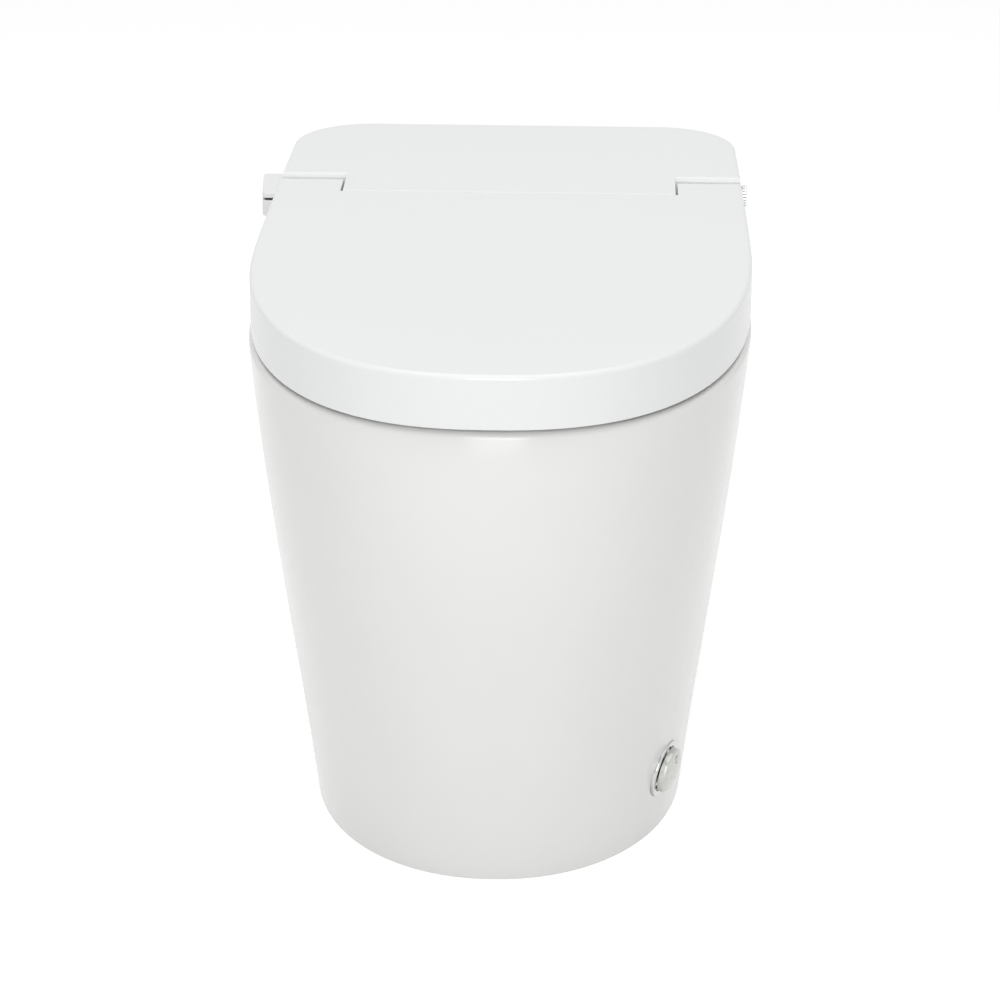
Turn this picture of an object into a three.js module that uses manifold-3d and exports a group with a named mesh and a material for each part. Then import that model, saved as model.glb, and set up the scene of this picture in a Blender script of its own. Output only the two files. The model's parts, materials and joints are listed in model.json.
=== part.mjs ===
// A one-piece skirted toilet with a built-in bidet seat: glazed china body, lid, heated seat and rear unit.
// Millimetres. The front faces -Y, +X is the viewer's right, and the floor is z = 0.
// The origin is on the floor, on the centre line, halfway along the toilet.

import * as THREE from "three";
import { mergeVertices } from "three/addons/utils/BufferGeometryUtils.js";
import Module from "manifold-3d";

// Overall sizes
const LENGTH = 685;
const LID_WIDTH = 400;
const RIM_HEIGHT = 400;
const LID_GAP = 4;
const LID_HEIGHT = 42;

// Outline of the lid and rear cover, seen from above. Each flank starts so far behind the front.
const LID_FLANK_START = 322.5;
const LID_NOSE_EXPONENT = 2.48;
const BACK_NARROWING = 4.3;
const BACK_CORNER_RADIUS = 67;
const FLANK_POWER = 1.5;
const TOP_EDGE_ROUND = 5.5;

// China body at four stations from floor to rim, measured inward from the lid's flank and back from the
// lid's front
const BASE_INSET = 48.8;
const SHIN_INSET = 36.5;
const WAIST_INSET = 17.8;
const RIM_PROUD = 0.4;
const BASE_SETBACK = 73.9;
const SHIN_SETBACK = 39.5;
const WAIST_SETBACK = 4.8;
const RIM_SETBACK = 6;
const STATION_HEIGHT_SHARES = [0, 0.25, 0.6, 1];
const BASE_FLANK_START = 276.5;
const RIM_FLANK_START = 296.5;
const BASE_NOSE_EXPONENT = 2.08;
const RIM_NOSE_EXPONENT = 2.44;
const BODY_BACK_INSET = 3;
const BODY_BACK_CORNER = 60;
const RIM_EDGE_ROUND = 5;
const CHINA_WALL = 11;
const DECK_THICKNESS = 14;

// Bowl and trap. Setbacks at the rear are measured from the back of the cover.
const BOWL_SIDE_INSET = 72;
const BOWL_FRONT_SETBACK = 59.5;
const BOWL_BACK_SETBACK = 270.5;
const SUMP_WIDTH = 72;
const SUMP_LENGTH = 84;
const SUMP_BACK_SETBACK = 372.5;
const SUMP_FLOOR = 96;
const BOWL_EXPONENT = 2.2;
const BOWL_DEPTH_SHARES = [0, 0.06, 0.2, 0.42, 0.64, 0.82, 0.95, 1];
const BOWL_OPENNESS_SHARES = [1, 1, 0.93, 0.74, 0.47, 0.2, 0.04, 0];
const BOWL_BACK_SHARES = [1, 1, 0.95, 0.55, 0.14, 0.02, 0, 0];
const SUMP_FLOOR_ROUND = 9;
const BOWL_WALL = 10;
const TRAP_BORE = 54;
const TRAP_WALL = 9;
const TRAP_INLET_HEIGHT = 128;
const TRAP_DIP_HEIGHT = 110;
const TRAP_BEND_HEIGHT = 190;
const TRAP_RISE_SETBACK = 316.5;
const ROUGH_IN = 250;
const COLLAR_DIAMETER = 104;
const COLLAR_HEIGHT = 30;
const WEB_THICKNESS = 16;
const WEB_HEIGHT = 50;
const GASKET_DIAMETER = 118;
const GASKET_SPIGOT_GAP = 2;
const GASKET_HEIGHT = 7;

// Opening in the deck behind the bowl, and the bay for the wand
const DECK_LEDGE = 40;
const DECK_OPENING_FRONT_SETBACK = 208.5;
const DECK_OPENING_BACK_SETBACK = 30.5;
const DECK_OPENING_CORNER = 24;
const BAY_WIDTH = 132;
const BAY_FRONT_SETBACK = 302.5;
const BAY_DEPTH = 50;
const BAY_OUTLET_MARGIN = 9;

// Hinge of lid and seat
const SEAM_SETBACK = 167.5;
const SEAM_GAP = 2;
const EAR_WIDTH = 59;
const TONGUE_LENGTH = 50.5;
const COVER_EDGE_ROUND = 5;
const TONGUE_SIDE_GAP = 2;
const TONGUE_FRONT_GAP = 2;
const PIN_RADIUS = 5;
const PIN_CLEARANCE = 0.45;
const PIN_GRIP = 23;
const CHEEK_THICKNESS = 3;
const LID_WEB_THICKNESS = 8;
const KNUCKLE_WIDTH = 24;
const KNUCKLE_RADIUS = 12;
const HINGE_SIDE_GAP = 1;
const DAMPER_RADIUS = 11;
const DAMPER_LENGTH = 44;
const BRACKET_THICKNESS = 4;
const BRACKET_WIDTH = 26;
const BRACKET_FOOT = 16;

// Lid and seat
const LID_WALL = 4;
const LID_BUMPER_RADIUS = 7;
const LID_BUMPER_HEIGHT = 4.5;
const LID_BOSS_RADIUS = 9;
const SEAT_SIDE_CLEARANCE = 3;
const SEAT_BOTTOM_GAP = 4.6;
const SEAT_THICKNESS = 22.4;
const SEAT_EDGE_ROUND = 8;
const SEAT_REAR_TO_HINGE = 50;
const SEAT_RIM_WIDTH = 93;
const SEAT_HOLE_FRONT_SETBACK = 80.5;
const SEAT_HOLE_BACK_SETBACK = 308.5;
const SEAT_HOLE_EXPONENT = 2.3;
const SEAT_ARM_HEIGHT = 13;
const SEAT_BUMPER_WIDTH = 16;
const SEAT_BUMPER_LENGTH = 30;
const SEAT_BUMPER_CORNER = 5;
const BUMPER_FRONT_INSET = 44.4;
const BUMPER_FRONT_SETBACK = 42.5;
const BUMPER_REAR_INSET = 48;
const BUMPER_REAR_SETBACK = 282.5;

// Rear cover and the plate under it
const COVER_WALL = 3;
const UNIT_PLATE_THICKNESS = 3.2;
const UNIT_PLATE_INSET = 5;
const UNIT_SLOT_MARGIN = 1;
const UNIT_SLOT_SETBACK = 86.5;
const UNIT_ANCHOR_INSET = 28;
const UNIT_ANCHOR_BEHIND_SEAM = 17;
const UNIT_ANCHOR_RADIUS = 4;
const UNIT_ANCHOR_HEAD_RADIUS = 8;
const UNIT_ANCHOR_HEAD_HEIGHT = 5;
const UNIT_ANCHOR_PLUG_RADIUS = 9;
const UNIT_ANCHOR_PLUG_HEIGHT = 14;

// Wand that washes, in a frame of its own: it points along -Y and tilts down
const WAND_TILT_DEGREES = 15;
const WAND_TIP_SETBACK = 250.5;
const WAND_TIP_DROP = 22;
const WAND_RADIUS = 8;
const WAND_TIP_FACE_RADIUS = 4.8;
const WAND_LENGTH = 156;
const WAND_TIP_LENGTH = 18;
const WAND_NOZZLE_RADIUS = 1.6;
const WAND_NOZZLE_DEPTH = 3;
const RACK_WIDTH = 5;
const RACK_START = 40;
const RACK_ABOVE_WAND = 1.2;
const RACK_RAIL_BELOW = 6;
const GEAR_MODULE = 1;
const GEAR_PRESSURE_DEGREES = 20;
const PINION_TEETH = 16;
const PINION_Y = 62;
const TOOTH_BACKLASH = 0.3;
const TOOTH_FOOT_CLEARANCE = 0.4;
const PINION_WIDTH = 7;
const PINION_SHAFT_RADIUS = 2;
const HOUSING_WIDTH = 28;
const HOUSING_LENGTH = 163;
const HOUSING_FOOT_LENGTH = 14;
const HOUSING_FOOT_HEIGHT = 8;
const HOUSING_TOP = 13;
const HOUSING_BOTTOM = 12;
const HOUSING_CLEARANCE = 0.5;
const MOTOR_RADIUS = 13;
const MOTOR_LENGTH = 20;
const BAY_PANEL_THICKNESS = 3;
const BAY_PANEL_SETBACK = 262.5;
const BAY_PANEL_MARGIN = 0.5;
const BAY_ROOF_OVERLAP = 5;
const WINDOW_CLEARANCE = 3;

// Warm air drier
const DUCT_HEIGHT = 26;
const DUCT_WALL = 2;
const FAN_RADIUS = 34;
const FAN_HEIGHT = 26;
const FAN_BESIDE_DUCT = 16;
const FAN_SETBACK = 96.5;
const FAN_WALL = 2;
const IMPELLER_RADIUS = 25;
const IMPELLER_HEIGHT = 16;
const IMPELLER_VANES = 12;
const IMPELLER_HUB_RADIUS = 7;
const IMPELLER_DISC = 2;
const VANE_THICKNESS = 1.6;
const FAN_EYE_RADIUS = 15;
const FAN_SHAFT_RADIUS = 2;
const FLAP_THICKNESS = 2;
const FLAP_OVERLAP = 3;
const FLAP_PIN_RADIUS = 1.5;
const FLAP_LUG_THICKNESS = 2.5;

// Deodoriser
const FILTER_HEIGHT = 36;
const FILTER_LENGTH = 26;
const GRILLE_SLOTS = 5;
const GRILLE_SLOT_HEIGHT = 3;
const HOSE_RADIUS = 7;
const SMALL_FAN_FROM_BOARD = 13;
const SMALL_FAN_SETBACK = 96.5;
const SMALL_FAN_RADIUS = 22;
const SMALL_FAN_HEIGHT = 20;
const SMALL_FAN_EYE_RADIUS = 9.7;
const SMALL_IMPELLER_RADIUS = 16;
const SMALL_IMPELLER_HEIGHT = 11;

// Water parts that hang under the plate, and boards that stand on it
const HEATER_WIDTH = 84;
const HEATER_LENGTH = 104;
const HEATER_HEIGHT = 92;
const HEATER_CORNER = 14;
const HEATER_BAND = 5;
const HEATER_SPIGOT_RADIUS = 3.5;
const HEATER_SPIGOT_LENGTH = 12;
const HEATER_SIDE_INSET = 92;
const HEATER_SETBACK = 96.5;
const VALVE_BLOCK_WIDTH = 76;
const VALVE_BLOCK_LENGTH = 44;
const VALVE_BLOCK_HEIGHT = 30;
const VALVE_BLOCK_SIDE_INSET = 94;
const VALVE_BLOCK_SETBACK = 80.5;
const SOLENOID_RADIUS = 11;
const SOLENOID_LENGTH = 30;
const SOLENOID_COUNT = 3;
const FLUSH_VALVE_RADIUS = 22;
const FLUSH_VALVE_FLANGE_RADIUS = 28;
const FLUSH_VALVE_FLANGE_HEIGHT = 5;
const FLUSH_VALVE_BELOW_HOSE = 8;
const FLUSH_VALVE_SETBACK = 58.5;
const FLUSH_HOSE_RADIUS = 9;
const FLUSH_JET_RADIUS = 7;
const FLUSH_JET_FLANGE_RADIUS = 10.5;
const FLUSH_JET_FLANGE = 5;
const FLUSH_JET_BELOW_BAY = 20;
const BREAKER_RADIUS = 11;
const BREAKER_FOOT_RADIUS = 15;
const BREAKER_HEADROOM = 5;
const BREAKER_X = -34;
const BREAKER_SETBACK = 42.5;
const BOARD_WIDTH = 62;
const BOARD_LENGTH = 92;
const BOARD_THICKNESS = 1.8;
const BOARD_STANDOFF = 4;
const BOARD_SIDE_INSET = 50;
const BOARD_SETBACK = 90.5;
const SUPPLY_WIDTH = 50;
const SUPPLY_LENGTH = 90;
const SUPPLY_HEIGHT = 28;
const SUPPLY_SIDE_INSET = 54;
const SUPPLY_SETBACK = 84.5;
const INLET_X = -60;
const INLET_BELOW_TOP = 22;
const INLET_RADIUS = 9;
const INLET_NUT_RADIUS = 12;
const INLET_LENGTH = 26;
const GLAND_X = 90;
const GLAND_RADIUS = 8;
const GLAND_FLANGE_RADIUS = 10.5;
const GLAND_BORE = 3.5;
const GLAND_LENGTH = 12;

// Key box on the left and water knob on the right of the rear cover
const KEY_BOX_BEHIND_SEAM = 1.5;
const KEY_BOX_LENGTH = 61;
const KEY_BOX_OVERHANG = 15.5;
const KEY_BOX_FLARE = 4;
const KEY_BOX_BELOW_TOP = 18.5;
const KEY_BOX_HEIGHT = 21;
const KEY_BOX_WALL = 2.4;
const KEY_THICKNESS = 5;
const KEY_SEAM = 2;
const KEY_BOX_CORNER = 4;
const KEY_SWITCH_SIZE = 8;
const KEY_STEM_RADIUS = 2;
const KNOB_RADIUS = 9.3;
const KNOB_LENGTH = 4.6;
const KNOB_STAND_OFF = 3.8;
const KNOB_RIDGES = 20;
const KNOB_RIDGE_DEPTH = 0.7;
const KNOB_BEHIND_SEAM = 21;
const KNOB_BELOW_TOP = 22;
const KNOB_SHAFT_RADIUS = 3;
const ENCODER_SIZE = 17;
const ENCODER_LENGTH = 14;

// Foot button that flushes
const KICK_HEIGHT = 60;
const KICK_SETBACK = 155.5;
const KICK_RING_RADIUS = 23.5;
const KICK_RING_PROUD = 1.4;
const KICK_SEAT_DEPTH = 3.6;
const KICK_DOME_RADIUS = 18.6;
const KICK_DOME_RIM = 4.2;
const KICK_DOME_CROWN = 3.6;
const KICK_TRAVEL = 3;
const KICK_DOME_SKIRT = 2.5;
const KICK_BARREL_RADIUS = 12;
const KICK_BARREL_LENGTH = 22;
const KICK_STEM_RADIUS = 4;
const KICK_SWITCH_RADIUS = 19;
const KICK_SWITCH_LENGTH = 18;
const KICK_LENS_RADIUS = 3;
const KICK_LENS_OFFSET = 11.5;
const KICK_LENS_PROUD = 0.5;
const SPRING_RADIUS = 7.6;
const SPRING_WIRE_RADIUS = 0.7;
const SPRING_TURNS = 4;
const SPRING_POCKET_RADIUS = 9;
const SPRING_POCKET_DEPTH = 14;

// Floor fixings inside the skirt
const FIXING_SETBACK = 137.5;
const FIXING_HEIGHT = 30;
const FIXING_PLATE = 5;
const FIXING_FOOT_WIDTH = 46;
const FIXING_LENGTH = 56;
const FIXING_UPRIGHT = 46;
const FIXING_SCREW_RADIUS = 3.5;
const FIXING_CAP_RADIUS = 9;
const FIXING_CAP_HEIGHT = 3;
const FIXING_WALL_GAP = 3;
const FLOOR_SCREW_RADIUS = 4;

// Clearances and the overrun that every cut has
const FIT = 0.3;
const OVERRUN = 5;
const FAR = 500;

// Steps of round stretches
const NOSE_STEPS = 10;
const FLANK_STEPS = 3;
const CORNER_STEPS = 4;
const EDGE_STEPS = 3;
const BODY_STEPS = 10;
const HOLLOW_STEPS = 6;
const OVAL_STEPS = 28;
const ROUND_SIDES = 16;
const SMALL_SIDES = 10;
const HEX_SIDES = 6;
const TRAP_SIDES = 12;
const TRAP_STEPS = 16;
const HOSE_STEPS = 10;
const SPRING_STEPS = 10;
const SPRING_SIDES = 6;

// Heights and places that follow from the sizes above
const FRONT = -LENGTH / 2;
const BACK = LENGTH / 2;
const SIDE = LID_WIDTH / 2;
const LID_BOTTOM = RIM_HEIGHT + LID_GAP;
const TOP = LID_BOTTOM + LID_HEIGHT;
const EAR_RADIUS = LID_HEIGHT / 2;
const SEAM_Y = BACK - SEAM_SETBACK;
const HINGE_Y = SEAM_Y - EAR_RADIUS;
const HINGE_Z = LID_BOTTOM + EAR_RADIUS;
const TONGUE_SIDE = SIDE - EAR_WIDTH;
const TONGUE_FRONT = SEAM_Y - TONGUE_LENGTH;
const NOTCH_SIDE = TONGUE_SIDE + TONGUE_SIDE_GAP;
const NOTCH_FRONT = TONGUE_FRONT - TONGUE_FRONT_GAP;
const SHOULDER_Y = SEAM_Y + SEAM_GAP;
const PIN_INNER_END = TONGUE_SIDE - PIN_GRIP;
const KNUCKLE_START = NOTCH_SIDE + CHEEK_THICKNESS + HINGE_SIDE_GAP;
const KNUCKLE_END = KNUCKLE_START + KNUCKLE_WIDTH;
const LID_WEB_START = KNUCKLE_END + HINGE_SIDE_GAP;
const LID_WEB_END = LID_WEB_START + LID_WEB_THICKNESS;
const PIN_OUTER_END = LID_WEB_END + HINGE_SIDE_GAP;
const SEAT_BOTTOM = RIM_HEIGHT + SEAT_BOTTOM_GAP;
const SEAT_TOP = SEAT_BOTTOM + SEAT_THICKNESS;
const SEAT_REAR = HINGE_Y - SEAT_REAR_TO_HINGE;
const DECK_BOTTOM = RIM_HEIGHT - DECK_THICKNESS;
const PLATE_BOTTOM = RIM_HEIGHT + FIT;
const PLATE_TOP = PLATE_BOTTOM + UNIT_PLATE_THICKNESS;
const SHELF = PLATE_TOP + FIT;
const HANGER = RIM_HEIGHT;
const OUTLET_Y = BACK - ROUGH_IN;
const GASKET_BORE = TRAP_BORE + 2 * (TRAP_WALL + GASKET_SPIGOT_GAP);
const BOWL_BACK = BACK - BOWL_BACK_SETBACK;
const SUMP_BACK = BACK - SUMP_BACK_SETBACK;
const TRAP_RISE_Y = BACK - TRAP_RISE_SETBACK;
const DECK_OPENING_FRONT = BACK - DECK_OPENING_FRONT_SETBACK;
const DECK_OPENING_BACK = BACK - DECK_OPENING_BACK_SETBACK;
const BAY_FRONT = BACK - BAY_FRONT_SETBACK;
const BAY_PANEL_Y = BACK - BAY_PANEL_SETBACK;
const BAY_ROOF_BACK = TONGUE_FRONT - BAY_PANEL_MARGIN;
const BAY_OUTLET_WIDTH = (BAY_WIDTH - HOUSING_WIDTH) / 2 - 2 * BAY_OUTLET_MARGIN;
const DRIER_X = (BAY_WIDTH + HOUSING_WIDTH) / 4;
const FILTER_X = -DRIER_X;
const FAN_X = DRIER_X + FAN_BESIDE_DUCT;
const UNIT_SLOT_WIDTH = BAY_WIDTH - 2 * UNIT_SLOT_MARGIN;
const UNIT_SLOT_BACK = BACK - UNIT_SLOT_SETBACK;
const WAND_TIP_Y = BACK - WAND_TIP_SETBACK;
const WAND_AXIS_HEIGHT = RIM_HEIGHT - WAND_TIP_DROP;
const FAN_Y = BACK - FAN_SETBACK;
const SMALL_FAN_Y = BACK - SMALL_FAN_SETBACK;
const HEATER_X = HEATER_SIDE_INSET - SIDE;
const HEATER_Y = BACK - HEATER_SETBACK;
const VALVE_BLOCK_X = SIDE - VALVE_BLOCK_SIDE_INSET;
const VALVE_BLOCK_Y = BACK - VALVE_BLOCK_SETBACK;
const FLUSH_VALVE_Y = BACK - FLUSH_VALVE_SETBACK;
const FLUSH_JET_HEIGHT = RIM_HEIGHT - BAY_DEPTH - FLUSH_JET_BELOW_BAY;
const BREAKER_Y = BACK - BREAKER_SETBACK;
const BREAKER_HEIGHT = TOP - COVER_WALL - BREAKER_HEADROOM - SHELF;
const BOARD_X = BOARD_SIDE_INSET - SIDE;
const BOARD_Y = BACK - BOARD_SETBACK;
const SMALL_FAN_X = BOARD_X + BOARD_WIDTH / 2 + SMALL_FAN_FROM_BOARD + SMALL_FAN_RADIUS;
const SUPPLY_X = SIDE - SUPPLY_SIDE_INSET;
const SUPPLY_Y = BACK - SUPPLY_SETBACK;
const INLET_Z = TOP - INLET_BELOW_TOP;
const KEY_BOX_FRONT = SEAM_Y + KEY_BOX_BEHIND_SEAM;
const KEY_BOX_REACH = SIDE + KEY_BOX_OVERHANG;
const KEY_BOX_TOP = TOP - KEY_BOX_BELOW_TOP;
const KNOB_Y = SEAM_Y + KNOB_BEHIND_SEAM;
const KNOB_Z = TOP - KNOB_BELOW_TOP;
const KNOB_REACH = SIDE + KNOB_STAND_OFF;
const KICK_Y = FRONT + KICK_SETBACK;
const FIXING_Y = BACK - FIXING_SETBACK;
const QUARTER_TURN = Math.PI / 2;
const UNIT_X = new THREE.Vector3(1, 0, 0);
const UNIT_Y = new THREE.Vector3(0, 1, 0);
const UNIT_Z = new THREE.Vector3(0, 0, 1);

const wasm = await Module();
wasm.setup();

// A geometry becomes a manifold, manifolds are joined and cut, and the result becomes a geometry again.
function solid(geometry) {
  const bare = geometry.clone();
  bare.deleteAttribute("normal");
  bare.deleteAttribute("uv");
  const merged = mergeVertices(bare);
  return new wasm.Manifold(
    new wasm.Mesh({
      numProp: 3,
      vertProperties: new Float32Array(merged.attributes.position.array),
      triVerts: new Uint32Array(merged.index.array),
    }),
  );
}

function geometryOf(made) {
  const mesh = made.getMesh();
  const geometry = new THREE.BufferGeometry();
  geometry.setAttribute("position", new THREE.BufferAttribute(mesh.vertProperties, mesh.numProp));
  geometry.setIndex(new THREE.BufferAttribute(mesh.triVerts, 1));
  geometry.computeVertexNormals();
  return geometry;
}

function join(first, ...others) {
  return others.reduce((sum, other) => sum.add(other), first);
}

function cut(first, ...others) {
  return others.reduce((rest, other) => rest.subtract(other), first);
}

function overlap(first, ...others) {
  return others.reduce((common, other) => common.intersect(other), first);
}

// A box given by its lowest and highest corners.
function box(low, high) {
  const size = high.map((value, axis) => value - low[axis]);
  const middle = high.map((value, axis) => (value + low[axis]) / 2);
  return solid(new THREE.BoxGeometry(...size).translate(...middle));
}

// Turns a piece made along +Z so that it runs along the wanted direction, and moves it.
function turnedTo(geometry, direction, at) {
  const turn = new THREE.Quaternion().setFromUnitVectors(UNIT_Z, direction);
  return geometry.applyQuaternion(turn).translate(...at);
}

// A round bar from a point along a direction.
function rod(radius, length, direction, at, sides = ROUND_SIDES) {
  const geometry = new THREE.CylinderGeometry(radius, radius, length, sides);
  geometry.rotateX(QUARTER_TURN).translate(0, 0, length / 2);
  return solid(turnedTo(geometry, direction, at));
}

// A turned piece: its profile of radius and height runs from the axis round to the axis.
function turned(profile, direction, at, sides = ROUND_SIDES) {
  const points = profile.map(([radius, height]) => new THREE.Vector2(radius, height));
  const geometry = new THREE.LatheGeometry(points, sides).rotateX(QUARTER_TURN);
  return solid(turnedTo(geometry, direction, at));
}

// An outline in Y and Z carried along X.
function carriedAlongX(outline, from, to) {
  const shape = new THREE.Shape(outline);
  const geometry = new THREE.ExtrudeGeometry(shape, { depth: to - from, bevelEnabled: false });
  geometry.applyMatrix4(new THREE.Matrix4().makeBasis(UNIT_Y, UNIT_Z, UNIT_X));
  return solid(geometry.translate(from, 0, 0));
}

// An outline in X and Y carried up Z.
function carriedUp(outline, from, to) {
  const shape = new THREE.Shape(outline);
  const geometry = new THREE.ExtrudeGeometry(shape, { depth: to - from, bevelEnabled: false });
  return solid(geometry.translate(0, 0, from));
}

// A skin through rings of equally many points, from the lowest ring up, closed by a fan at each end.
function loft(rings) {
  const count = rings[0].length;
  const positions = rings.flat().flatMap((point) => point.toArray());
  const index = [];
  for (let level = 0; level < rings.length - 1; level++) {
    for (let i = 0; i < count; i++) {
      const here = level * count + i;
      const next = level * count + ((i + 1) % count);
      index.push(here, next, next + count, here, next + count, here + count);
    }
  }
  const lastStart = (rings.length - 1) * count;
  for (let i = 1; i < count - 1; i++) {
    index.push(0, i + 1, i);
    index.push(lastStart, lastStart + i, lastStart + i + 1);
  }
  const geometry = new THREE.BufferGeometry();
  geometry.setAttribute("position", new THREE.Float32BufferAttribute(positions, 3));
  geometry.setIndex(index);
  return solid(geometry);
}

// A tube-like bar along a curve: a round section of the given radius.
function alongCurve(points, radius, sides, steps, curveType = "catmullrom") {
  const path = new THREE.CatmullRomCurve3(points, false, curveType);
  const section = new THREE.Shape();
  section.absarc(0, 0, radius, 0, 4 * QUARTER_TURN);
  const round = new THREE.Shape(section.getSpacedPoints(sides).slice(0, sides));
  return solid(new THREE.ExtrudeGeometry(round, { steps, extrudePath: path, bevelEnabled: false }));
}

// The materials that the pieces are made of.
const FINISHES = {
  china: { color: 0xe9e9e6, roughness: 0.12, metalness: 0 },
  glossPlastic: { color: 0xeceeed, roughness: 0.2, metalness: 0 },
  whitePlastic: { color: 0xe4e6e5, roughness: 0.5, metalness: 0 },
  greyPlastic: { color: 0x8f9496, roughness: 0.5, metalness: 0 },
  blackPlastic: { color: 0x26282a, roughness: 0.5, metalness: 0 },
  rubber: { color: 0xb9bcbb, roughness: 0.8, metalness: 0 },
  blackRubber: { color: 0x2b2b2b, roughness: 0.8, metalness: 0 },
  chrome: { color: 0xc9cbc9, roughness: 0.12, metalness: 1 },
  satinMetal: { color: 0xc4c5c0, roughness: 0.32, metalness: 1 },
  steel: { color: 0xa4a6a8, roughness: 0.35, metalness: 1 },
  brass: { color: 0xb79a5b, roughness: 0.3, metalness: 1 },
  board: { color: 0x1f5a3c, roughness: 0.6, metalness: 0 },
  lens: { color: 0xdfe3e0, roughness: 0.08, metalness: 0 },
};

const toilet = new THREE.Group();

// Puts a finished solid into the scene as its own mesh with its own material.
function place(name, made, finish, parent = toilet) {
  const mesh = new THREE.Mesh(geometryOf(made), new THREE.MeshStandardMaterial(FINISHES[finish]));
  mesh.name = name;
  parent.add(mesh);
  return mesh;
}

// Outlines

// The right half of a D, from the middle of the nose to the flat back: a superellipse nose, a flank
// that draws in by a power of its length, and a round corner.
function halfD({ halfWidth, front, noseStart, noseExponent, back, backHalfWidth, cornerRadius }) {
  const power = 2 / noseExponent;
  const cornerStart = back - cornerRadius;
  const half = [];
  for (let i = 0; i <= NOSE_STEPS; i++) {
    const angle = (i / NOSE_STEPS) * QUARTER_TURN;
    const x = halfWidth * Math.sin(angle) ** power;
    half.push(new THREE.Vector2(x, noseStart - (noseStart - front) * Math.cos(angle) ** power));
  }
  for (let i = 1; i <= FLANK_STEPS; i++) {
    const share = i / FLANK_STEPS;
    const x = halfWidth - (halfWidth - backHalfWidth) * share ** FLANK_POWER;
    half.push(new THREE.Vector2(x, THREE.MathUtils.lerp(noseStart, cornerStart, share)));
  }
  for (let i = 1; i <= CORNER_STEPS; i++) {
    const angle = (i / CORNER_STEPS) * QUARTER_TURN;
    const x = backHalfWidth - cornerRadius * (1 - Math.cos(angle));
    half.push(new THREE.Vector2(x, cornerStart + cornerRadius * Math.sin(angle)));
  }
  return half;
}

function outlineD(shape) {
  const half = halfD(shape);
  const mirrored = half.slice(1).reverse();
  return [...half, ...mirrored.map((point) => new THREE.Vector2(-point.x, point.y))];
}

function ringD(shape, z) {
  return outlineD(shape).map((point) => new THREE.Vector3(point.x, point.y, z));
}

// A closed superellipse between a front and a back.
function ovalRing({ halfWidth, front, back, exponent }, z) {
  const power = 2 / exponent;
  const middle = (front + back) / 2;
  const halfLength = (back - front) / 2;
  return Array.from({ length: OVAL_STEPS }, (_, i) => {
    const angle = (i / OVAL_STEPS) * 4 * QUARTER_TURN - QUARTER_TURN;
    const across = Math.cos(angle);
    const along = Math.sin(angle);
    return new THREE.Vector3(
      halfWidth * Math.sign(across) * Math.abs(across) ** power,
      middle + halfLength * Math.sign(along) * Math.abs(along) ** power,
      z,
    );
  });
}

// A rectangle with round corners, given by its middle.
function roundedRectangle(width, length, radius, x = 0, y = 0) {
  const shape = new THREE.Shape();
  const right = width / 2 - radius;
  const end = length / 2 - radius;
  shape.absarc(x + right, y - end, radius, -QUARTER_TURN, 0);
  shape.absarc(x + right, y + end, radius, 0, QUARTER_TURN);
  shape.absarc(x - right, y + end, radius, QUARTER_TURN, 2 * QUARTER_TURN);
  shape.absarc(x - right, y - end, radius, 2 * QUARTER_TURN, 3 * QUARTER_TURN);
  return shape.getPoints(CORNER_STEPS);
}

// The outline that the lid and the rear cover share, drawn in by an inset.
function topShape(inset) {
  return {
    halfWidth: SIDE - inset,
    front: FRONT + inset,
    noseStart: FRONT + LID_FLANK_START,
    noseExponent: LID_NOSE_EXPONENT,
    back: BACK - inset,
    backHalfWidth: SIDE - BACK_NARROWING - inset,
    cornerRadius: BACK_CORNER_RADIUS - inset,
  };
}

// A block of that outline with a round top edge.
function topBlock(inset, bottom, top, round) {
  const rings = [ringD(topShape(inset), bottom)];
  for (let i = 0; i <= EDGE_STEPS; i++) {
    const angle = (i / EDGE_STEPS) * QUARTER_TURN;
    const drawnIn = inset + round * (1 - Math.cos(angle));
    rings.push(ringD(topShape(drawnIn), top - round + round * Math.sin(angle)));
  }
  return loft(rings);
}

// A value at a share of the height, on the cubic through the four stations of the body.
function throughStations(values, share) {
  return values.reduce((sum, value, i) => {
    const weight = STATION_HEIGHT_SHARES.reduce(
      (product, station, j) =>
        i === j ? product : (product * (share - station)) / (STATION_HEIGHT_SHARES[i] - station),
      1,
    );
    return sum + value * weight;
  }, 0);
}

// The body's outline at a height, drawn in by an inset.
function bodyShape(z, inset = 0) {
  const share = z / RIM_HEIGHT;
  const sideInset = throughStations([BASE_INSET, SHIN_INSET, WAIST_INSET, -RIM_PROUD], share);
  const setback = throughStations([BASE_SETBACK, SHIN_SETBACK, WAIST_SETBACK, RIM_SETBACK], share);
  const halfWidth = SIDE - sideInset - inset;
  return {
    halfWidth,
    front: FRONT + setback + inset,
    noseStart: FRONT + THREE.MathUtils.lerp(BASE_FLANK_START, RIM_FLANK_START, share),
    noseExponent: THREE.MathUtils.lerp(BASE_NOSE_EXPONENT, RIM_NOSE_EXPONENT, share),
    back: BACK - BODY_BACK_INSET - inset,
    backHalfWidth: halfWidth - BACK_NARROWING,
    cornerRadius: BODY_BACK_CORNER - inset,
  };
}

// Half the width of a D at a place along it, on the nose or the flank.
function halfWidthAt(shape, y) {
  const { halfWidth, front, noseStart, noseExponent, back, backHalfWidth, cornerRadius } = shape;
  if (y < noseStart) {
    const along = (noseStart - y) / (noseStart - front);
    return halfWidth * (1 - along ** noseExponent) ** (1 / noseExponent);
  }
  const share = (y - noseStart) / (back - cornerRadius - noseStart);
  return halfWidth - (halfWidth - backHalfWidth) * share ** FLANK_POWER;
}

function bodyHalfWidthAt(z, y) {
  return halfWidthAt(bodyShape(z), y);
}

// China body

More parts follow.
